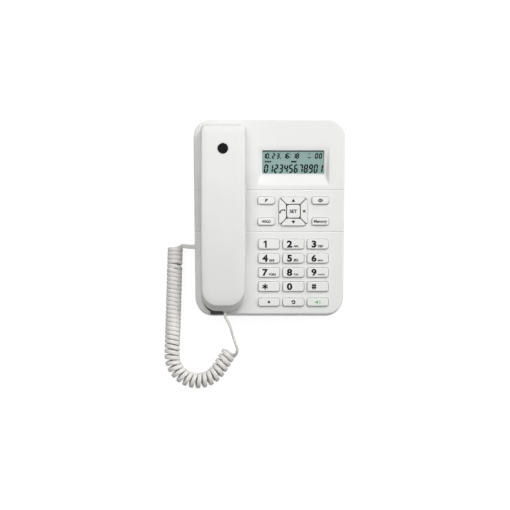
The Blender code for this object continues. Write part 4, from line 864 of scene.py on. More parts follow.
def recess_depth(u, v):
    """Depth of the softly moulded display recess below the face."""

    def ramp(distance, soft):
        if distance < -soft:
            return 0.0
        return distance if distance > soft else (distance + soft) ** 2 / (4 * soft)

    floor = ramp(RECESS_REAR_V - v, RECESS_SOFT_REAR) * math.tan(DISPLAY_LEAN)
    ledge = ramp(v - RECESS_REAR_V + RECESS_LENGTH, RECESS_SOFT_FRONT) * RECESS_DEPTH / RECESS_LEDGE
    aside = RECESS_WIDTH / 2 - abs(u - PANEL_U)
    side = ramp(aside, RECESS_SOFT_SIDE) * RECESS_DEPTH / RECESS_DRAFT
    depths = (floor, ledge, side)
    if min(depths) <= 0:
        return 0.0
    return sum((depth / MM) ** -RECESS_BLEND for depth in depths) ** (-1 / RECESS_BLEND) * MM


def add_recess_cutter(bm):
    """Block whose underside is the floor of the display recess."""
    columns, rows = RECESS_GRID
    half = RECESS_WIDTH / 2 + RECESS_SOFT_SIDE + RECESS_MARGIN
    front = RECESS_REAR_V - RECESS_LENGTH - RECESS_SOFT_FRONT - RECESS_MARGIN
    rear = RECESS_REAR_V + RECESS_SOFT_REAR + RECESS_REAR_MARGIN
    grid = []
    for j in range(rows + 1):
        v = front + (rear - front) * j / rows
        line = []
        for k in range(columns + 1):
            u = PANEL_U - half + 2 * half * k / columns
            line.append(bm.verts.new((u, v, CUT_LIFT - recess_depth(u, v))))
        grid.append(line)
    for low, high in zip(grid, grid[1:]):
        for k in range(columns):
            bm.faces.new((low[k], low[k + 1], high[k + 1], high[k]))
    edge = grid[0][:-1] + [line[-1] for line in grid[:-1]]
    edge += grid[-1][:0:-1] + [line[0] for line in reversed(grid[1:])]
    lid = [bm.verts.new((vert.co.x, vert.co.y, CUT_TOP)) for vert in edge]
    for k in range(len(edge)):
        bm.faces.new((edge[k - 1], edge[k], lid[k], lid[k - 1]))
    bm.faces.new(lid)


def add_recess_tub(bm):
    """Block under the display recess that leaves it a floor and walls."""
    half = RECESS_WIDTH / 2 + DISPLAY_FLOOR
    low = -WALL / 2
    front = RECESS_REAR_V - RECESS_LENGTH - DISPLAY_FLOOR
    rear = RECESS_REAR_V + DISPLAY_FLOOR
    deep_v = RECESS_REAR_V - RECESS_LENGTH + RECESS_LEDGE
    deep = -RECESS_DEPTH - DISPLAY_FLOOR
    points = []
    for side in (-1, 1):
        u = PANEL_U + side * half
        deep_u = PANEL_U + side * (half - RECESS_DRAFT)
        points += [(u, front, low), (u, rear, low), (u, rear, low - DISPLAY_FLOOR)]
        points += [(deep_u, deep_v - DISPLAY_FLOOR, deep), (deep_u, deep_v + DISPLAY_FLOOR, deep)]
    bmesh.ops.convex_hull(bm, input=[bm.verts.new(point) for point in points])


def add_groove_cutter(bm, v):
    """Bar with a soft rounded edge along the face and down both sides."""
    side = side_at(v * math.cos(FACE_TILT))
    half = [(side, SEAM_HEIGHT - face_height(v), 1.0, 0.0)]
    for inset, drop in fillet(EDGE_ROUND, FILLET_STEPS):
        half.append((side - inset, -drop, 1 - inset / EDGE_ROUND, 1 - drop / EDGE_ROUND))
    path = half + [(-u, w, -nu, nw) for u, w, nu, nw in reversed(half)]
    section = [(GROOVE_REACH, WALL), (-GROOVE_REACH, WALL)]
    for k in range(-GROOVE_STEPS, GROOVE_STEPS + 1):
        sink = GROOVE_DEPTH * (1 + math.cos(math.pi * k / GROOVE_STEPS)) / 2
        section.append((GROOVE_REACH * k / GROOVE_STEPS, CUT_LIFT - sink))
    rings = []
    for u, w, nu, nw in path:
        rings.append([Vector((u + nu * out, v + along, w + nw * out)) for along, out in section])
    add_loft(bm, rings)


def add_crease_cutter(bm):
    """Channel along the handset's front left corner that widens and deepens towards the notch."""
    path = handset_outline(0, 0, 0)[-CREASE_POINTS:]
    rings = []
    for k, point in enumerate(path):
        ahead = Vector(path[min(k + 1, CREASE_POINTS - 1)])
        along = (ahead - Vector(path[max(k - 1, 0)])).normalized()
        out = Vector((along.y, -along.x))
        share = (k + 1) / CREASE_POINTS
        reach = CREASE_REACH * (CREASE_START_SHARE + (1 - CREASE_START_SHARE) * share**CREASE_FLARE)
        depth = CREASE_DEPTH * min(CREASE_DEEPENING * share, 1.0)
        shoulder = (CREASE_SHOULDER[0] * reach, -CREASE_SHOULDER[1] * depth)
        section = [(reach, WALL), (reach, CUT_LIFT), shoulder, (0, -depth)]
        section += [(-CREASE_INNER, -depth), (-CREASE_INNER, WALL)]
        rings.append([Vector((*(Vector(point) + out * side), height)) for side, height in section])
    add_loft(bm, rings)


def box_ring(y, width, height, corner):
    """Ring of a block that lies along y."""
    return [Vector((x, y, z)) for x, z in rounded_rectangle(width, height, corner, 3)]


def add_jack_hole(bm, width, place):
    """Cutter for the wall around a socket's mouth."""
    size = (width + 2 * GAP, JACK_HEIGHT + 2 * GAP, JACK_HOLE_CORNER)
    hole = bmesh.new()
    add_loft(hole, [box_ring(y, *size) for y in (-JACK_HOLE_REACH, JACK_HOLE_REACH)])
    add_placed(bm, hole, place)


def add_placed(bm, extra, place):
    """Move one bmesh into another at a place."""
    extra.transform(place)
    mesh = bpy.data.meshes.new("extra")
    extra.to_mesh(mesh)
    extra.free()
    bm.from_mesh(mesh)
    bpy.data.meshes.remove(mesh)


def display_outline(grow):
    width = DISPLAY_WIDTH + 2 * grow
    corner = max(DISPLAY_CORNER + grow, 0.3 * MM)
    return rounded_rectangle(width, DISPLAY_LENGTH + 2 * grow, corner, 4)


def cover_rings():
    """Upper shell's round edge, outer wall, rim, inner wall and ceiling."""
    rings = []
    for inset, drop in reversed(fillet(EDGE_ROUND, FILLET_STEPS)):
        rings.append(on_slope(base_outline(inset), face_height, -drop))
    rim = SEAM_HEIGHT + GAP / 2
    rings += stacked(base_outline, [(0, rim + SEAM_CHAMFER), (SEAM_CHAMFER, rim), (WALL, rim)])
    rings.append(on_slope(base_outline(WALL), face_height, -WALL / math.cos(FACE_TILT)))
    return rings


def cover_cuts(wells):
    """Wells, notch, key and hook openings, grooves, recess, socket mouths and a sound hole."""
    cuts = bmesh.new()
    for well in wells:
        add_cutter(cuts, well, -WELL_DEPTH, WELL_RIM, WELL_FOOT)
    add_cutter(cuts, notch_outline(FACE_FRONT_V - 3 * WALL), -NOTCH_DEPTH, NOTCH_RIM, NOTCH_RIM)
    for name, size in key_sizes().items():
        add_cutter(cuts, opening_of(size, *key_place(name)), -2 * WALL, KEY_RIM)
    add_cutter(cuts, lambda grow: nav_outline(KEY_GAP + grow), -2 * WALL, KEY_RIM)
    hook = (HANDSET_U, HANDSET_V + HOOK_FROM_MIDDLE)
    add_cutter(cuts, lambda grow: circle(HOOK_RADIUS + GAP + grow, 32, hook), -2 * WALL, HOOK_RIM)
    for v in GROOVES:
        add_groove_cutter(cuts, v)
    add_recess_cutter(cuts)
    cuts.transform(FACE)
    add_jack_hole(cuts, JACK_WIDTH, base_jack_place())
    add_jack_hole(cuts, LINE_JACK_WIDTH, line_jack_place())
    sound = bmesh.new()
    add_loft(sound, turned_rings([(BASE_CAPSULE_HOLE, -2 * WALL), (BASE_CAPSULE_HOLE, 2 * WALL)], 16))
    front = Matrix.Translation((BASE_CAPSULE_X, -BASE_LENGTH / 2, BASE_CAPSULE_Z))
    add_placed(cuts, sound, front @ turned(math.pi / 2, "X"))
    return cuts


def add_top_cover(looks):
    """Upper shell of the base with wells, recess, grooves, key openings and painted shade in the cord
    notch.
    """
    cover = lofted("base_shell", cover_rings())
    wells = (well_outline(EAR_BUMP, EAR_B), well_outline(MIC_BUMP, MIC_B))
    tubs = bmesh.new()
    for well in wells:
        add_prism(tubs, well(WELL_WALL), -WELL_DEPTH - WELL_WALL, TUB_TOP)
    add_recess_tub(tubs)
    carve(cover, "UNION", tubs, FACE)
    tub = bmesh.new()
    inner_notch = notch_outline(FACE_FRONT_V + 0.4 * WALL)
    add_prism(tub, inner_notch(WELL_WALL), -NOTCH_DEPTH - WELL_WALL, TUB_TOP)
    carve(cover, "UNION", tub, FACE)
    carve(cover, "DIFFERENCE", cover_cuts(wells))
    crease = bmesh.new()
    add_crease_cutter(crease)
    carve(cover, "DIFFERENCE", crease, HANDSET)
    opening = bmesh.new()
    lap = DISPLAY_LAP + GAP
    pairs = [(lap, -DISPLAY_POCKET_DEPTH), (lap, -DISPLAY_FLOOR), (0, -DISPLAY_FLOOR), (0, CUT_TOP)]
    add_loft(opening, stacked(display_outline, pairs))
    carve(cover, "DIFFERENCE", opening, DISPLAY)
    dress(cover, looks["shell"], "shell", "base", "base_top_cover")
    # Painted shade: the deep faces of the cord notch and of the channel's end get the dark plastic
    # material
    paint(cover, looks["dark_plastic"], HANDSET, lambda *place: in_notch_shade(*place) or in_crease_shade(*place))


def in_notch_shade(a, b, height):
    """Whether a point of the upper shell, in handset coordinates, is in the deep part of the cord's
    notch, which gets painted shade.
    """
    across = abs(a - NOTCH_OFFSET) < NOTCH_WIDTH / 2 + GAP
    ahead = b < FACE_FRONT_V - HANDSET_V + NOTCH_LENGTH + GAP
    return across and ahead and -NOTCH_DEPTH - GAP < height < -1.0 * MM


def in_crease_shade(a, b, height):
    """Whether a point is in the deep end of the channel beside the notch, which gets painted shade."""
    radius = HANDSET_FRONT_CORNER
    out = Vector((a, b)) - Vector((radius - HANDSET_WIDTH / 2, radius - HANDSET_LENGTH / 2))
    ahead = out.x < 0 and out.y < -CREASE_PAINTED_SHADE_SHARE * radius
    near = out.length < radius + CREASE_REACH / 2
    return ahead and near and -CREASE_DEPTH - GAP < height < -CREASE_DEPTH / 2


def opening_of(size, u, v):
    """Function for the outline of a key's opening."""
    return lambda grow: moved(key_outline(size, KEY_GAP + grow), u, v)


def foot_place(x, y):
    return (x * (BASE_WIDTH / 2 - FOOT_INSET), y * (BASE_LENGTH / 2 - FOOT_INSET))


def slot_outline(width, length):
    """Outline of a sound slot with nearly half-round ends."""
    return rounded_rectangle(width, length, width / 2 - SLOT_EASE, 5)


def add_bottom_cover(looks):
    """Tray of the base with foot and screw pockets and sound slots."""
    rim = SEAM_HEIGHT - GAP / 2
    pairs = [(inset, FOOT_HEIGHT + drop) for inset, drop in reversed(fillet(TRAY_ROUND, 6))]
    pairs += [(0, rim - SEAM_CHAMFER), (SEAM_CHAMFER, rim), (WALL, rim), (WALL + TRAY_DRAFT, FLOOR_TOP)]
    tray = lofted("base_tray", stacked(base_outline, pairs))

    bosses = bmesh.new()
    cuts = bmesh.new()
    head = SCREW_HEAD_RADIUS + GAP
    shank = SCREW_RADIUS + GAP
    pocket = [(head, 0), (head, SCREW_HEAD_SEAT), (shank, SCREW_HEAD_SEAT), (shank, 2 * SEAM_HEIGHT)]
    for x, y in CORNERS.values():
        middle = (x * SCREW_X, y * SCREW_Y)
        add_prism(bosses, circle(POST_RADIUS + BOSS_LAP, 24, middle), FOOT_HEIGHT + FLOOR / 2, rim)
        add_loft(cuts, turned_rings(pocket, 32, middle))
        foot = circle(FOOT_RADIUS + GAP, ROUND_STEPS, foot_place(x, y))
        add_prism(cuts, foot, 0, FOOT_HEIGHT + FOOT_RECESS)
    for k, share in enumerate(SOUND_SLOT_SHARES):
        slot = slot_outline(SOUND_SLOT_WIDTH, 2 * SPEAKER_RADIUS * share)
        across = PANEL_U + (k - len(SOUND_SLOT_SHARES) // 2) * SOUND_SLOT_PITCH
        add_prism(cuts, moved(slot, across, SPEAKER_Y), 0, 2 * FLOOR_TOP)
    carve(tray, "UNION", bosses)
    carve(tray, "DIFFERENCE", cuts)
    dress(tray, looks["underside"], "underside", "base", "base_bottom_cover")


def add_feet(looks):
    profile = [(FOOT_RADIUS - inset, drop) for inset, drop in reversed(fillet(FOOT_ROUND, 5))]
    profile.append((FOOT_RADIUS, FOOT_HEIGHT + FOOT_RECESS - GAP))
    for name, (x, y) in CORNERS.items():
        place = Matrix.Translation((*foot_place(x, y), 0))
        foot = lofted(f"rubber_foot_{name}", turned_rings(profile), place)
        dress(foot, looks["rubber"], "rubber", "base", f"foot_{name}")


def add_screw(name, length, place, looks, body, solid):
    """A pan-head screw with a cross recess, pointing up from its head."""
    head = SCREW_HEAD_RADIUS
    tip = SCREW_HEAD + length
    angles = [math.radians(15 * k) for k in range(1, 7)]
    profile = [(head * math.sin(a), SCREW_HEAD / 2 * (1 - math.cos(a))) for a in angles]
    profile += [(head, SCREW_HEAD), (SCREW_RADIUS, SCREW_HEAD), (SCREW_RADIUS, tip - SCREW_TIP)]
    profile.append((SCREW_RADIUS * SCREW_TIP_SHARE, tip))
    screw = lofted(name, turned_rings(profile, 32))
    quarters = [Matrix.Rotation(math.pi / 2 * k, 2) for k in range(4)]
    rings = []
    for far, thin, height in SCREW_CROSS:
        quarter = [Vector((thin, thin)), Vector((thin, far)), Vector((-thin, far))]
        rings.append(at_height([turn @ point for turn in quarters for point in quarter], height))
    cross = bmesh.new()
    add_loft(cross, rings)
    carve(screw, "DIFFERENCE", cross)
    screw.data.transform(place)
    dress(screw, looks["steel"], "steel", body, solid)


def add_screws(looks):
    head = SCREW_HEAD_SEAT - GAP - SCREW_HEAD
    for name, (x, y) in CORNERS.items():
        place = Matrix.Translation((x * SCREW_X, y * SCREW_Y, head))
        solid = f"base_screw_{name}"
        add_screw(f"tray_screw_{name}", SCREW_LENGTH, place, looks, "base", solid)
    head = GRIP_UNDERSIDE + HANDSET_WALL - SCREW_HEAD
    for name, b in (("front", -HANDSET_SCREW_B), ("rear", HANDSET_SCREW_B)):
        place = HANDSET @ Matrix.Translation((0, b, head))
        solid = f"handset_screw_{name}"
        add_screw(f"grip_screw_{name}", HANDSET_SCREW_LENGTH, place, looks, "handset", solid)


def add_hook(looks):
    """Plunger that the handset's grip holds down."""
    flange = SKIRT_TOP - HOOK_TRAVEL
    low = flange - HOOK_FLANGE_THICKNESS
    top = GRIP_UNDERSIDE - GAP
    profile = [(HOOK_STUB_RADIUS, HOOK_STUB_BOTTOM), (HOOK_STUB_RADIUS, low), (HOOK_FLANGE_RADIUS, low)]
    profile += [(HOOK_FLANGE_RADIUS, flange), (HOOK_RADIUS, flange)]
    profile += [(HOOK_RADIUS - inset, top - drop) for inset, drop in fillet(HOOK_ROUND, 6)]
    place = HANDSET @ Matrix.Translation((0, HOOK_FROM_MIDDLE, 0))
    plunger = lofted("hook_button", turned_rings(profile, 32), place)
    dress(plunger, looks["shell"], "shell", "hook", "hook_plunger")


def add_plugs(looks):
    """Clear modular plugs whose slim outer ends look like the cord."""
    width = JACK_CAVITY_WIDTH - 2 * GAP
    height = JACK_CAVITY_HEIGHT - 2 * GAP
    deep = -JACK_CAVITY_DEPTH + GAP
    back, front = PLUG_SHOULDER
    pairs = [(deep, PLUG_NOSE), (deep + PLUG_NOSE, 0), (back, 0)]
    pairs += [(front, PLUG_NECK_INSET), (PLUG_PROUD, PLUG_NECK_INSET)]
    rings = [box_ring(y, width - 2 * inset, height - 2 * inset, PLUG_CORNER) for y, inset in pairs]
    for body, place in (("base", base_jack_place()), ("handset", handset_jack_place())):
        plug = lofted(f"{body}_cord_plug", rings, place)
        dress(plug, looks["clear_plastic"], "clear_plastic", body, f"{body}_plug")
        paint(plug, looks["cord"], place, lambda x, y, z: y > 0)


def add_contacts(looks):
    """Sprung wires in the line socket."""
    deep = -JACK_CAVITY_DEPTH + 2 * GAP
    top = JACK_CAVITY_HEIGHT / 2
    route = [(y, top - drop) for y, drop in (*CONTACT_BEND, (deep, CONTACT_DROP))]
    wire = rounded_rectangle(CONTACT_SIZE, CONTACT_SIZE, CONTACT_CORNER, 2)
    bm = bmesh.new()
    for k in range(CONTACTS):
        x = (k - (CONTACTS - 1) / 2) * CONTACT_PITCH
        add_loft(bm, [[Vector((x + p, y, z + q)) for p, q in wire] for y, z in route])
    contacts = make_object("line_contacts", bm, line_jack_place())
    dress(contacts, looks["brass"], "socket", "base")


# Keys and legends


def arrow_outline(outward=0.0):
    """Outline of the rear arrow key; outward moves only its outer edges."""
    inner = SET_SIZE / 2 + NAV_GAP
    outer = NAV_SIZE / 2 + outward
    gap = NAV_GAP / math.sqrt(2)
    corner_sum = NAV_SIZE - NAV_CHAMFER + outward * math.sqrt(2)
    right = [
        (inner - gap, inner),
        ((corner_sum - gap) / 2, (corner_sum + gap) / 2),
        (corner_sum - outer, outer),
    ]
    return softened(mirrored(right), ARROW_CORNER, KEY_STEPS)


def key_rings(outline, flange, edge=KEY_FILLET):
    """Skirt under the cover, body through it and a rounded top."""
    rings = [at_height(flange, SKIRT_TOP - KEY_SKIRT), at_height(flange, SKIRT_TOP)]
    rings.append(at_height(outline, SKIRT_TOP))
    for inset, drop in fillet(edge, KEY_STEPS):
        rings.append(at_height(shrunk(outline, inset), KEY_PROUD - drop))
    return rings


def add_word(bm, text, centre=(0, 0), width=None, height=None, bold=0.0, slant=0.0, stretch=1.0):
    """Flat lettering of a given width or height, centred on a point."""
    curve = bpy.data.curves.new("word", "FONT")
    curve.body = text
    curve.offset = bold
    curve.shear = slant
    curve.resolution_u = 5
    holder = bpy.data.objects.new("word", curve)
    bpy.context.scene.collection.objects.link(holder)
    graph = bpy.context.evaluated_depsgraph_get()
    mesh = bpy.data.meshes.new_from_object(holder.evaluated_get(graph))
    bpy.data.objects.remove(holder)
    bpy.data.curves.remove(curve)
    xs = [vert.co.x for vert in mesh.vertices]
    ys = [vert.co.y for vert in mesh.vertices]
    tall = max(ys) - min(ys)
    wide = max(xs) - min(xs)
    scale = width / wide if width else height / tall
    middle = Vector(((max(xs) + min(xs)) / 2, (max(ys) + min(ys)) / 2, 0))
    for vert in mesh.vertices:
        out = (vert.co - middle) * scale
        vert.co = Vector((centre[0] + out.x * stretch, centre[1] + out.y, 0))
    bm.from_mesh(mesh)
    bpy.data.meshes.remove(mesh)


def add_shape(bm, points):
    """A flat filled shape from points in millimetres."""
    bm.faces.new([bm.verts.new((x * MM, y * MM, 0)) for x, y in points])


def add_stroke(bm, points, width):
    """A flat stroke of even width along points in millimetres."""
    rows = []
    for k, point in enumerate(points):
        ahead = Vector(points[min(k + 1, len(points) - 1)])
        along = (ahead - Vector(points[max(k - 1, 0)])).normalized() * width / 2
        here = Vector(point)
        sides = (here + Vector((-along.y, along.x)), here + Vector((along.y, -along.x)))
        rows.append([bm.verts.new((p.x * MM, p.y * MM, 0)) for p in sides])
    for low, high in zip(rows, rows[1:]):
        bm.faces.new((low[0], low[1], high[1], high[0]))


def arc(radius, start, end, centre=(0, 0), steps=12):
    """Points of an arc in degrees."""
    angles = [math.radians(start + (end - start) * k / steps) for k in range(steps + 1)]
    return [(centre[0] + radius * math.cos(a), centre[1] + radius * math.sin(a)) for a in angles]


def number_sign(bm, digit):
    """Number of a dial key, with its letters."""
    x, size = NUMBER_X * MM, NUMBER_HEIGHT * MM
    add_word(bm, digit, (x, 0), height=size, bold=NUMBER_BOLD, stretch=NUMBER_STRETCH)
    letters = LETTERS.get(digit)
    if letters:
        width = LETTER_WIDTH * len(letters)
        centre = ((LETTERS_X + width / 2) * MM, LETTERS_Y * MM)
        add_word(bm, letters, centre, width=width * MM, bold=LETTER_BOLD)


def one_sign(bm):
    """The number 1, with a flag and no foot."""
    low, high = -NUMBER_HEIGHT / 2, NUMBER_HEIGHT / 2
    stem = [(-3.85, low), (-2.2, low), (-2.2, high), (-3.4, high)]
    add_shape(bm, stem + [(-5.3, 2.5), (-5.3, 0.9), (-3.85, 1.7)])


def star_sign(bm):
    for k in range(3):
        far = Matrix.Rotation(math.pi / 3 * k, 2) @ Vector((0, 3.0))
        add_stroke(bm, [(NUMBER_X - far.x, -far.y), (NUMBER_X + far.x, far.y)], 1.25)


def hash_sign(bm):
    for side in (-1, 1):
        add_stroke(bm, [(NUMBER_X + side, -2.8), (NUMBER_X + side, 2.8)], 1.2)
        add_stroke(bm, [(NUMBER_X - 2.2, side), (NUMBER_X + 2.2, side)], 1.2)


def dot_icon(bm):
    add_shape(bm, [(-1.1, -1.1), (1.1, -1.1), (1.1, 1.1), (-1.1, 1.1)])


def triangle_icon(bm, way=1):
    add_shape(bm, [(x * way, y * way) for x, y in ((-1.9, -1.5), (1.9, -1.5), (0, 1.7))])


def speaker_icon(bm):
    """Loudspeaker with two sound waves."""
    body = [(-2.4, -0.7), (-1.4, -0.7), (0.0, -1.8), (0.0, 1.8), (-1.4, 0.7), (-2.4, 0.7)]
    add_shape(bm, [(x * SPEAKER_ICON, y * SPEAKER_ICON) for x, y in body])
    for radius in (1.2, 2.2):
        wave = [((x + 0.2) * SPEAKER_ICON, y * SPEAKER_ICON) for x, y in arc(radius, -45, 45)]
        add_stroke(bm, wave, 0.45 * SPEAKER_ICON)


def redial_icon(bm):
    """Round arrow."""
    add_stroke(bm, arc(1.5, -150, 150), 1.15)
    add_shape(bm, [(-2.5, 0.1), (-0.4, 0.1), (-1.2, 1.7)])


def level_icon(bm):
    """Two small triangles back to back around a bar, for the sound level."""
    for side in (-1, 1):
        add_stroke(bm, [(side * 0.2, -1.5), (side * 2.1, 0), (side * 0.2, 1.5)], 1.15)
    add_stroke(bm, [(-0.5, 0), (0.5, 0)], 1.0)


def call_icon(bm):
    """Receiver drawn as one curved stroke."""
    add_stroke(bm, arc(4.0, 158, 75, (0.9, -2.6)), 1.1)
    for x, y in ((-2.5, -1.2), (1.9, 1.0)):
        add_shape(bm, arc(0.9, 0, 330, (x, y), 11))


def cross_icon(bm):
    for side in (-1, 1):
        add_stroke(bm, [(-1.1, -1.1 * side), (1.1, 1.1 * side)], 1.05)


SIGNS = {
    "1": one_sign, "star": star_sign, "hash": hash_sign, "mute": dot_icon, "redial": redial_icon,
    "speaker": speaker_icon, "volume": level_icon, "up": triangle_icon, "call": call_icon,
    "down": lambda bm: triangle_icon(bm, -1), "delete": cross_icon,
}


def legend_mesh(name):
    """Print of one key."""
    bm = bmesh.new()
    if name in WORDS:
        add_word(bm, **WORDS[name])
    elif name in SIGNS:
        SIGNS[name](bm)
    else:
        number_sign(bm, name)
    if name in PAD_WAYS:
        x, y = PAD_WAYS[name]
        arm = (SET_SIZE / 2 + NAV_GAP + NAV_SIZE / 2) / 2
        bm.transform(Matrix.Translation((x * arm, y * arm, 0)))
    return bm


def add_key(name, rings, place, looks):
    """A key with its print riding on it."""
    body = f"key_{name}"
    key = lofted(f"cap_{name}", rings, place)
    dress(key, looks["green_key" if name == "speaker" else "key"], "key", body, body)
    u, v = (PANEL_U, NAV_V) if name in PAD_WAYS else key_place(body)
    top = FACE @ Matrix.Translation((u, v, KEY_PROUD + INK_LIFT))
    ink = {"speaker": "green_ink", "set": "grey_ink"}.get(name, "ink")
    add_ink(f"print_{name}", legend_mesh(name), top, looks[ink], body)


def add_keys(looks):
    for body, size in key_sizes().items():
        rings = key_rings(key_outline(size), key_outline(size, KEY_FLANGE))
        place = FACE @ Matrix.Translation((*key_place(body), 0))
        add_key(body.removeprefix("key_"), rings, place, looks)
    pad = FACE @ Matrix.Translation((PANEL_U, NAV_V, 0))
    rings = key_rings(arrow_outline(), arrow_outline(KEY_FLANGE), NAV_FILLET)
    for k, name in enumerate(PAD_WAYS):
        add_key(name, rings, pad @ turned(k * math.pi / 2, "Z"), looks)
    middle = rounded_rectangle(SET_SIZE, SET_SIZE, SET_CORNER, KEY_STEPS)
    add_key("set", key_rings(middle, middle, NAV_FILLET), pad, looks)


# Display


def add_digit(bm, sign, centre, width, height, stroke):
    """One slanting seven-segment figure in millimetres."""
    x, y = (width - stroke) / 2, (height - stroke) / 2
    ends = {
        "a": ((-x, y), (x, y)), "b": ((x, y), (x, 0)), "c": ((x, 0), (x, -y)),
        "d": ((-x, -y), (x, -y)), "e": ((-x, 0), (-x, -y)), "f": ((-x, y), (-x, 0)),
        "g": ((-x, 0), (x, 0)),
    }
    for name in SEGMENTS[sign]:
        start, end = (Vector(point) for point in ends[name])
        along = (end - start).normalized() * stroke
        side = Vector((-along.y, along.x)) / 2
        start, end = start + along * SEGMENT_GAP, end - along * SEGMENT_GAP
        tip = along * SEGMENT_TIP
        points = [start, start + tip - side, end - tip - side, end, end - tip + side, start + tip + side]
        add_shape(bm, [(centre[0] + p.x + FIGURE_SLANT * p.y, centre[1] + p.y) for p in points])


def add_block(bm, centre, width, height):
    """A small filled mark on the display, in millimetres."""
    add_shape(bm, moved(rounded_rectangle(width, height, BLOCK_CORNER, 2), *centre))


def on_display(px, py):
    """Display coordinates in millimetres of a point given in view pixels."""
    x = (px - DISPLAY_MIDDLE_PIXEL[0]) * DISPLAY_WIDTH / DISPLAY_PIXELS[0]
    y = (DISPLAY_MIDDLE_PIXEL[1] - py) * DISPLAY_LENGTH / DISPLAY_PIXELS[1]
    return x / MM, y / MM


def figures_and_shadow_mesh():
    """Date, time and count, small marks, the number row and a dark bar of painted shadow along the top
    edge.
    """
    bm = bmesh.new()
    for pair, places in TOP_PAIRS.items():
        for sign, px in zip(pair, places):
            add_digit(bm, sign, on_display(px, TOP_ROW_PIXEL), *TOP_FIGURE)
    for place in TOP_DOT_PIXELS:
        add_block(bm, on_display(*place), *TOP_DOT)
    add_block(bm, on_display(*TOP_DASH_PIXEL), *TOP_DASH)
    for left, right in MARK_SPANS:
        for k in range(MARKS):
            px = left + (right - left) * (k + 0.5) / MARKS
            add_block(bm, on_display(px, MARK_ROW_PIXEL), *MARK)
    for k, sign in enumerate("012345678901"):
        px = NUMBER_ROW_PIXEL[0] + NUMBER_ROW_PITCH * k
        add_digit(bm, sign, on_display(px, NUMBER_ROW_PIXEL[1]), *NUMBER_FIGURE)
    # Dark bar along the top edge: painted shadow of the window's rim, in the figures' material
    line = (0, (DISPLAY_LENGTH / MM - PAINTED_TOP_SHADOW) / 2)
    add_block(bm, line, DISPLAY_WIDTH / MM - 2 * PAINTED_TOP_SHADOW_INSET, PAINTED_TOP_SHADOW)
    return bm


def add_display(looks):
    """Liquid-crystal glass with its figures and a painted shadow along its top edge, and the clear
    window over it.
    """
    top = -DISPLAY_FLOOR - GAP
    low = top - GLASS_THICKNESS
    lap, edge = DISPLAY_LAP, GLASS_EDGE
    pairs = [(lap - edge, low), (lap, low + edge), (lap, top - edge), (lap - edge, top)]
    glass = lofted("crystal_plate", stacked(display_outline, pairs), DISPLAY)
    dress(glass, looks["display_glass"], "display_glass", "base", "display_glass")
    place = DISPLAY @ Matrix.Translation((0, 0, top + INK_LIFT))
    add_ink("crystal_figures_and_painted_shadow", figures_and_shadow_mesh(), place, looks["segment"], "base")
    pairs = [(-GAP, -DISPLAY_FLOOR), (-GAP, -WINDOW_SINK - edge), (-GAP - edge, -WINDOW_SINK)]
    window = lofted("clear_window", stacked(display_outline, pairs), DISPLAY)
    dress(window, looks["window"], "clear_plastic", "base", "display_window")


# Handset


def handset_outline(side, front, rear):
    """Handset plan outline, inset by different amounts at its sides and ends."""
    width = HANDSET_WIDTH - 2 * side
    length = HANDSET_LENGTH - front - rear
    corners = (HANDSET_FRONT_CORNER - side, max(HANDSET_REAR_CORNER - side, 1.0 * MM))
    points = []
    for a, b in moved(rounded_plan(width, length, *corners, 14, 44), 0, (front - rear) / 2):
        share = (NARROWING_START - b) / (NARROWING_START + HANDSET_LENGTH / 2)
        narrow = HANDSET_NARROWING * max(share, 0.0) ** 2
        points.append((a * (1 - 2 * narrow / HANDSET_WIDTH), b))
    return points


def even_outline(inset):
    return handset_outline(inset, inset, inset)


def drawn_outline(inset):
    """Plan outline of the back, which slopes inwards from the seam."""
    slopes = (HANDSET_DRAFT, HANDSET_FRONT_SLOPE, HANDSET_REAR_SLOPE)
    return handset_outline(*[slope + inset for slope in slopes])


def handset_underside(b):
    """Height of the handset's underside: raised at the grip, low at both ends."""
    share = min(max((abs(b) - GRIP_HALF) / GRIP_RAMP, 0.0), 1.0)
    blend = share * share * (3 - 2 * share)
    return GRIP_UNDERSIDE + (END_UNDERSIDE - GRIP_UNDERSIDE) * blend


def crowned_edge():
    """Inset and drop from the handset's side wall, over its rounded edge, to its nearly flat back."""
    angle = HANDSET_FILLET_ANGLE
    edge = fillet(HANDSET_ROUND, 9, 0.0, math.degrees(angle))
    inset, drop = edge[-1]
    run = HANDSET_CROWN_REACH - inset
    crown = run / math.tan(angle) / 2
    pairs = [(i, d - drop + crown) for i, d in edge]
    steps = 6
    for k in range(1, steps + 1):
        left = 1 - k / steps
        pairs.append((inset + run * k / steps, crown * left**2))
    return pairs


def add_handset_back(looks):
    """Arched back shell with its pocket for the badge."""
    rings = []
    for inset, drop in reversed(crowned_edge()):
        rings.append(on_slope(drawn_outline(inset), handset_top, -drop))
    rim = HANDSET_SEAM + GAP / 2
    lip, wall = SEAM_CHAMFER, HANDSET_WALL
    rings += stacked(even_outline, [(0, rim + lip), (lip, rim), (wall, rim)])
    rings.append(on_slope(drawn_outline(wall), handset_top, -wall - HANDSET_CEILING))
    shell = lofted("handset_shell", rings, HANDSET, ladder=True)
    pocket = bmesh.new()
    add_cutter(pocket, lambda grow: circle(BADGE_RADIUS + GAP + grow), -BADGE_SINK, BADGE_RIM)
    carve(shell, "DIFFERENCE", pocket, BADGE)
    dress(shell, looks["shell"], "shell", "handset", "handset_back")


def add_badge(looks):
    low = -BADGE_SINK + GAP
    top = low + BADGE_THICKNESS
    profile = [(BADGE_RADIUS, low)]
    profile += [(BADGE_RADIUS - inset, top - drop) for inset, drop in fillet(BADGE_ROUND, 4)]
    badge = lofted("black_disc", turned_rings(profile, 64), BADGE)
    dress(badge, looks["badge"], "badge", "handset", "handset_badge")


def bump_outline(size, b, inset=0.0):
    corner = BUMP_CORNER - inset
    return moved(rounded_rectangle(size[0] - 2 * inset, size[1] - 2 * inset, corner, BUMP_STEPS), 0, b)


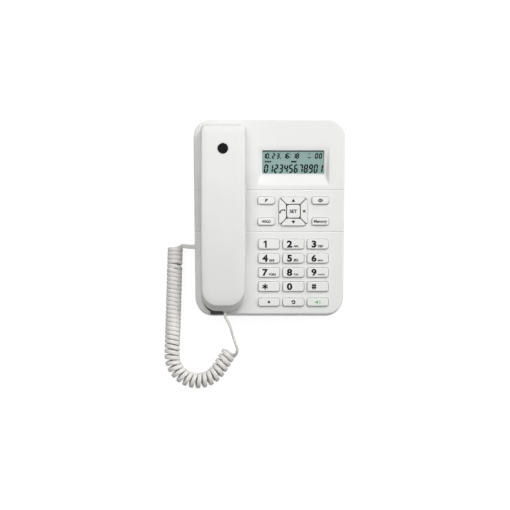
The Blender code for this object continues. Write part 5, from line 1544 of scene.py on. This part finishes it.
def add_handset_front(looks):
    """Front shell with the ear and mouth bumps, sound holes and screw pockets."""
    rings = []
    for inset, lift in reversed(fillet(UNDER_ROUND, 6)):
        rings.append(on_slope(even_outline(inset), handset_underside, lift))
    rim = HANDSET_SEAM - GAP / 2
    lip, wall = SEAM_CHAMFER, HANDSET_WALL
    rings += stacked(even_outline, [(0, rim - lip), (lip, rim), (wall, rim)])
    rings.append(on_slope(even_outline(wall + HANDSET_DRAFT), handset_underside, wall))
    shell = lofted("handset_face", rings, HANDSET, ladder=True)

    solids, hollows, cuts = bmesh.new(), bmesh.new(), bmesh.new()
    for size, b in ((EAR_BUMP, EAR_B), (MIC_BUMP, MIC_B)):
        rings = []
        for inset, lift in reversed(fillet(BUMP_SOFT, 6)):
            rings.append(at_height(bump_outline(size, b, inset), BUMP_BOTTOM + lift))
        rings.append(at_height(bump_outline(size, b), END_UNDERSIDE + wall / 2))
        add_loft(solids, rings)
        add_prism(hollows, bump_outline(size, b, wall), BUMP_BOTTOM + wall, END_UNDERSIDE + 1.2 * wall)
    for b in (-HANDSET_SCREW_B, HANDSET_SCREW_B):
        add_prism(solids, circle(POST_RADIUS, 32, (0, b)), GRIP_UNDERSIDE + wall / 2, rim)
        seat = GRIP_UNDERSIDE + wall + GAP
        add_prism(cuts, circle(SCREW_HEAD_RADIUS + GAP, 32, (0, b)), 0, seat)
    low, high = BUMP_BOTTOM - wall, BUMP_BOTTOM + 2 * wall
    for a, b in [(0, 0)] + circle(EAR_HOLE_RING, 6):
        add_prism(cuts, circle(EAR_HOLE_RADIUS, 20, (a, EAR_B + b)), low, high)
    for k in (-1, 0, 1):
        add_prism(cuts, moved(slot_outline(*MIC_SLOT), k * MIC_SLOT_PITCH, MIC_B), low, high)
    cuts.transform(HANDSET)
    add_jack_hole(cuts, JACK_WIDTH, handset_jack_place())
    carve(shell, "UNION", solids, HANDSET)
    carve(shell, "DIFFERENCE", hollows, HANDSET)
    carve(shell, "DIFFERENCE", cuts)
    dress(shell, looks["shell"], "shell", "handset", "handset_front")


# Coiled cord


def smooth_line(points, steps):
    """Points read from a smooth curve through a few route points."""
    first = points[0] * 2 - points[1]
    last = points[-1] * 2 - points[-2]
    knots = [first] + list(points) + [last]
    line = []
    for k in range(1, len(knots) - 2):
        a, b, c, d = knots[k - 1 : k + 3]
        for step in range(steps):
            t = step / steps
            spread = (c - a) * t + (a * 2 - b * 5 + c * 4 - d) * t**2
            line.append(b + (spread + (b * 3 - a - c * 3 + d) * t**3) / 2)
    line.append(points[-1])
    return line


def coil_place(distance):
    """Point and heading at a distance along the coil's axis."""
    height = COIL_RADIUS + CORD_DIAMETER / 2 + TABLE_CLEARANCE
    start = Vector((-BASE_WIDTH / 2 - COIL_FROM_BASE, BASE_JACK_Y + COIL_AHEAD, height))
    down = Vector((-COIL_LEAN, -COIL_RUN, 0))
    if distance < down.length:
        return start + down.normalized() * distance, down.normalized()
    turn = start + down + Vector((COIL_BEND_RADIUS, 0, 0))
    bend = (distance - down.length) / COIL_BEND_RADIUS
    angle = min(bend, COIL_BEND_ANGLE) + math.pi
    middle = turn + COIL_BEND_RADIUS * Vector((math.cos(angle), math.sin(angle), 0))
    heading = Vector((-math.sin(angle), math.cos(angle), 0))
    past = max(bend - COIL_BEND_ANGLE, 0.0) * COIL_BEND_RADIUS
    return middle + heading * past, heading


def coil_points():
    """Points of the coil with their outward directions."""
    length = math.hypot(COIL_LEAN, COIL_RUN) + COIL_BEND_RADIUS * COIL_BEND_ANGLE + COIL_END_RUN

    def spread(turn):
        """Turns up to this one, weighted by the looser pitch of the later ones."""
        past = (turn - COIL_TURNS_CLOSE) / COIL_TURNS_LOOSENING
        late = turn + COIL_TURNS_LOOSENING * math.log(math.cosh(past))
        return turn + (COIL_LOOSE_SHARE - 1) / 2 * late

    def slipped(turn):
        """Share of the parting at the one place where a turn lies askew."""
        return (1 + math.tanh((turn - COIL_SLIP_TURN) / COIL_SLIP_SPAN)) / 2

    def swayed(turn):
        """Advance within a turn: mostly underneath before the parting, mostly on top after it."""
        sway = (COIL_LEVEL_SHARE + COIL_STEEP_SHARE) * slipped(turn) - COIL_LEVEL_SHARE
        return sway * math.cos(2 * math.pi * turn) / (2 * math.pi)

    pitch = (length - COIL_SLIP) / (spread(COIL_TURNS) - spread(0))
    count = round(COIL_TURNS * POINTS_PER_CURL)
    points, outs = [], []
    for k in range(count + 1):
        turn = COIL_TURNS * k / count
        angle = -2 * math.pi * turn
        place = (spread(turn) - spread(0) + swayed(turn) - swayed(0)) * pitch
        place += COIL_SLIP * slipped(turn)
        middle, heading = coil_place(place)
        left = Vector((-heading.y, heading.x, 0))
        out = left * math.cos(angle) + Vector((0, 0, math.sin(angle)))
        points.append(middle + out * COIL_RADIUS)
        outs.append(out)
    return points, outs


def cord_route():
    """Lead from the base, coil with its outward directions, and tail to the handset."""
    coil, outs = coil_points()
    plug = base_jack_place().translation - Vector((PLUG_PROUD + GAP, 0, 0))
    straight = plug - Vector((STRAIGHT_RUN, 0, 0))
    corner = Vector((coil[0].x, coil[0].y, plug.z))
    shoulder = corner.lerp(straight.lerp(coil[0], 0.5), LEAD_SHARE)
    step = POINTS_PER_CURL // 8
    route = [plug, straight, shoulder, coil[0], coil[step]]
    lead = smooth_line(route, ROUTE_STEPS)[: 3 * ROUTE_STEPS]

    mouth_b = -HANDSET_LENGTH / 2 + HANDSET_JACK_SINK - PLUG_PROUD
    mouth = HANDSET @ Vector((HANDSET_JACK_OFFSET, mouth_b, HANDSET_JACK_C))
    ahead = HANDSET @ Vector((HANDSET_JACK_OFFSET, mouth_b - STRAIGHT_RUN, HANDSET_JACK_C))
    end = coil[-1]
    route = [coil[-1 - 2 * step], coil[-1 - step], end]
    for share, shift in TAIL_ROUTE:
        route.append(end.lerp(mouth, share) + Vector(shift) * MM)
    tail = smooth_line(route + [ahead, mouth], ROUTE_STEPS)[2 * ROUTE_STEPS + 1 :]
    return lead, coil, outs, tail


def cord_normals(lead, coil, outs, tail, tangents):
    """Directions of the cord's thin side: set by the coil, carried on along the lead and the tail."""

    def carried(normal, k):
        return (normal - tangents[k] * normal.dot(tangents[k])).normalized()

    normals = [None] * len(lead) + outs + [None] * len(tail)
    for k in range(len(lead) - 1, -1, -1):
        normals[k] = carried(normals[k + 1], k)
    for k in range(len(lead) + len(coil), len(normals)):
        before = carried(normals[k - 1], k)
        level = tangents[k].cross(Vector((0, 0, 1))).normalized()
        if level.dot(before) < 0:
            level.negate()
        normals[k] = before.lerp(level, TAIL_TURN_SHARE).normalized()
    return [carried(normal, k) for k, normal in enumerate(normals)]


def add_cord(looks):
    """The coiled cord: an oval tube, wider along the coil than across it."""
    lead, coil, outs, tail = cord_route()
    points = lead + coil + tail
    last = len(points) - 1
    tangents = []
    for k in range(len(points)):
        tangents.append((points[min(k + 1, last)] - points[max(k - 1, 0)]).normalized())
    normals = cord_normals(lead, coil, outs, tail, tangents)
    section = []
    for pair in circle(1.0, CORD_SIDES):
        section.append([math.copysign(abs(side) ** CORD_SQUARENESS, side) / 2 for side in pair])
    rings = []
    for point, along, thin in zip(points, tangents, normals):
        wide = along.cross(thin) * CORD_WIDTH
        rings.append([point + wide * across + thin * CORD_THICKNESS * out for across, out in section])
    item = lofted("curly_cord", rings)
    item.data.materials.append(looks["cord"])
    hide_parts("handset_cord")
    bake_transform(item)


def dress_solids(looks):
    """Materials for the solids that stay as they are."""
    slots = {row["node"]: row["material_slot"] for row in frame["record"]["subparts"]}
    for name, item in frame["nodes"].items():
        item.data.materials.clear()
        item.data.materials.append(looks[slots[name]])


def main():
    bpy.context.scene.view_settings.view_transform = "Standard"
    looks = make_looks()
    dress_solids(looks)
    add_camera()
    add_surroundings()
    add_table()
    add_lights()
    add_top_cover(looks)
    add_bottom_cover(looks)
    add_feet(looks)
    add_screws(looks)
    add_hook(looks)
    add_keys(looks)
    add_display(looks)
    add_handset_back(looks)
    add_badge(looks)
    add_handset_front(looks)
    add_plugs(looks)
    add_contacts(looks)
    add_cord(looks)


main()
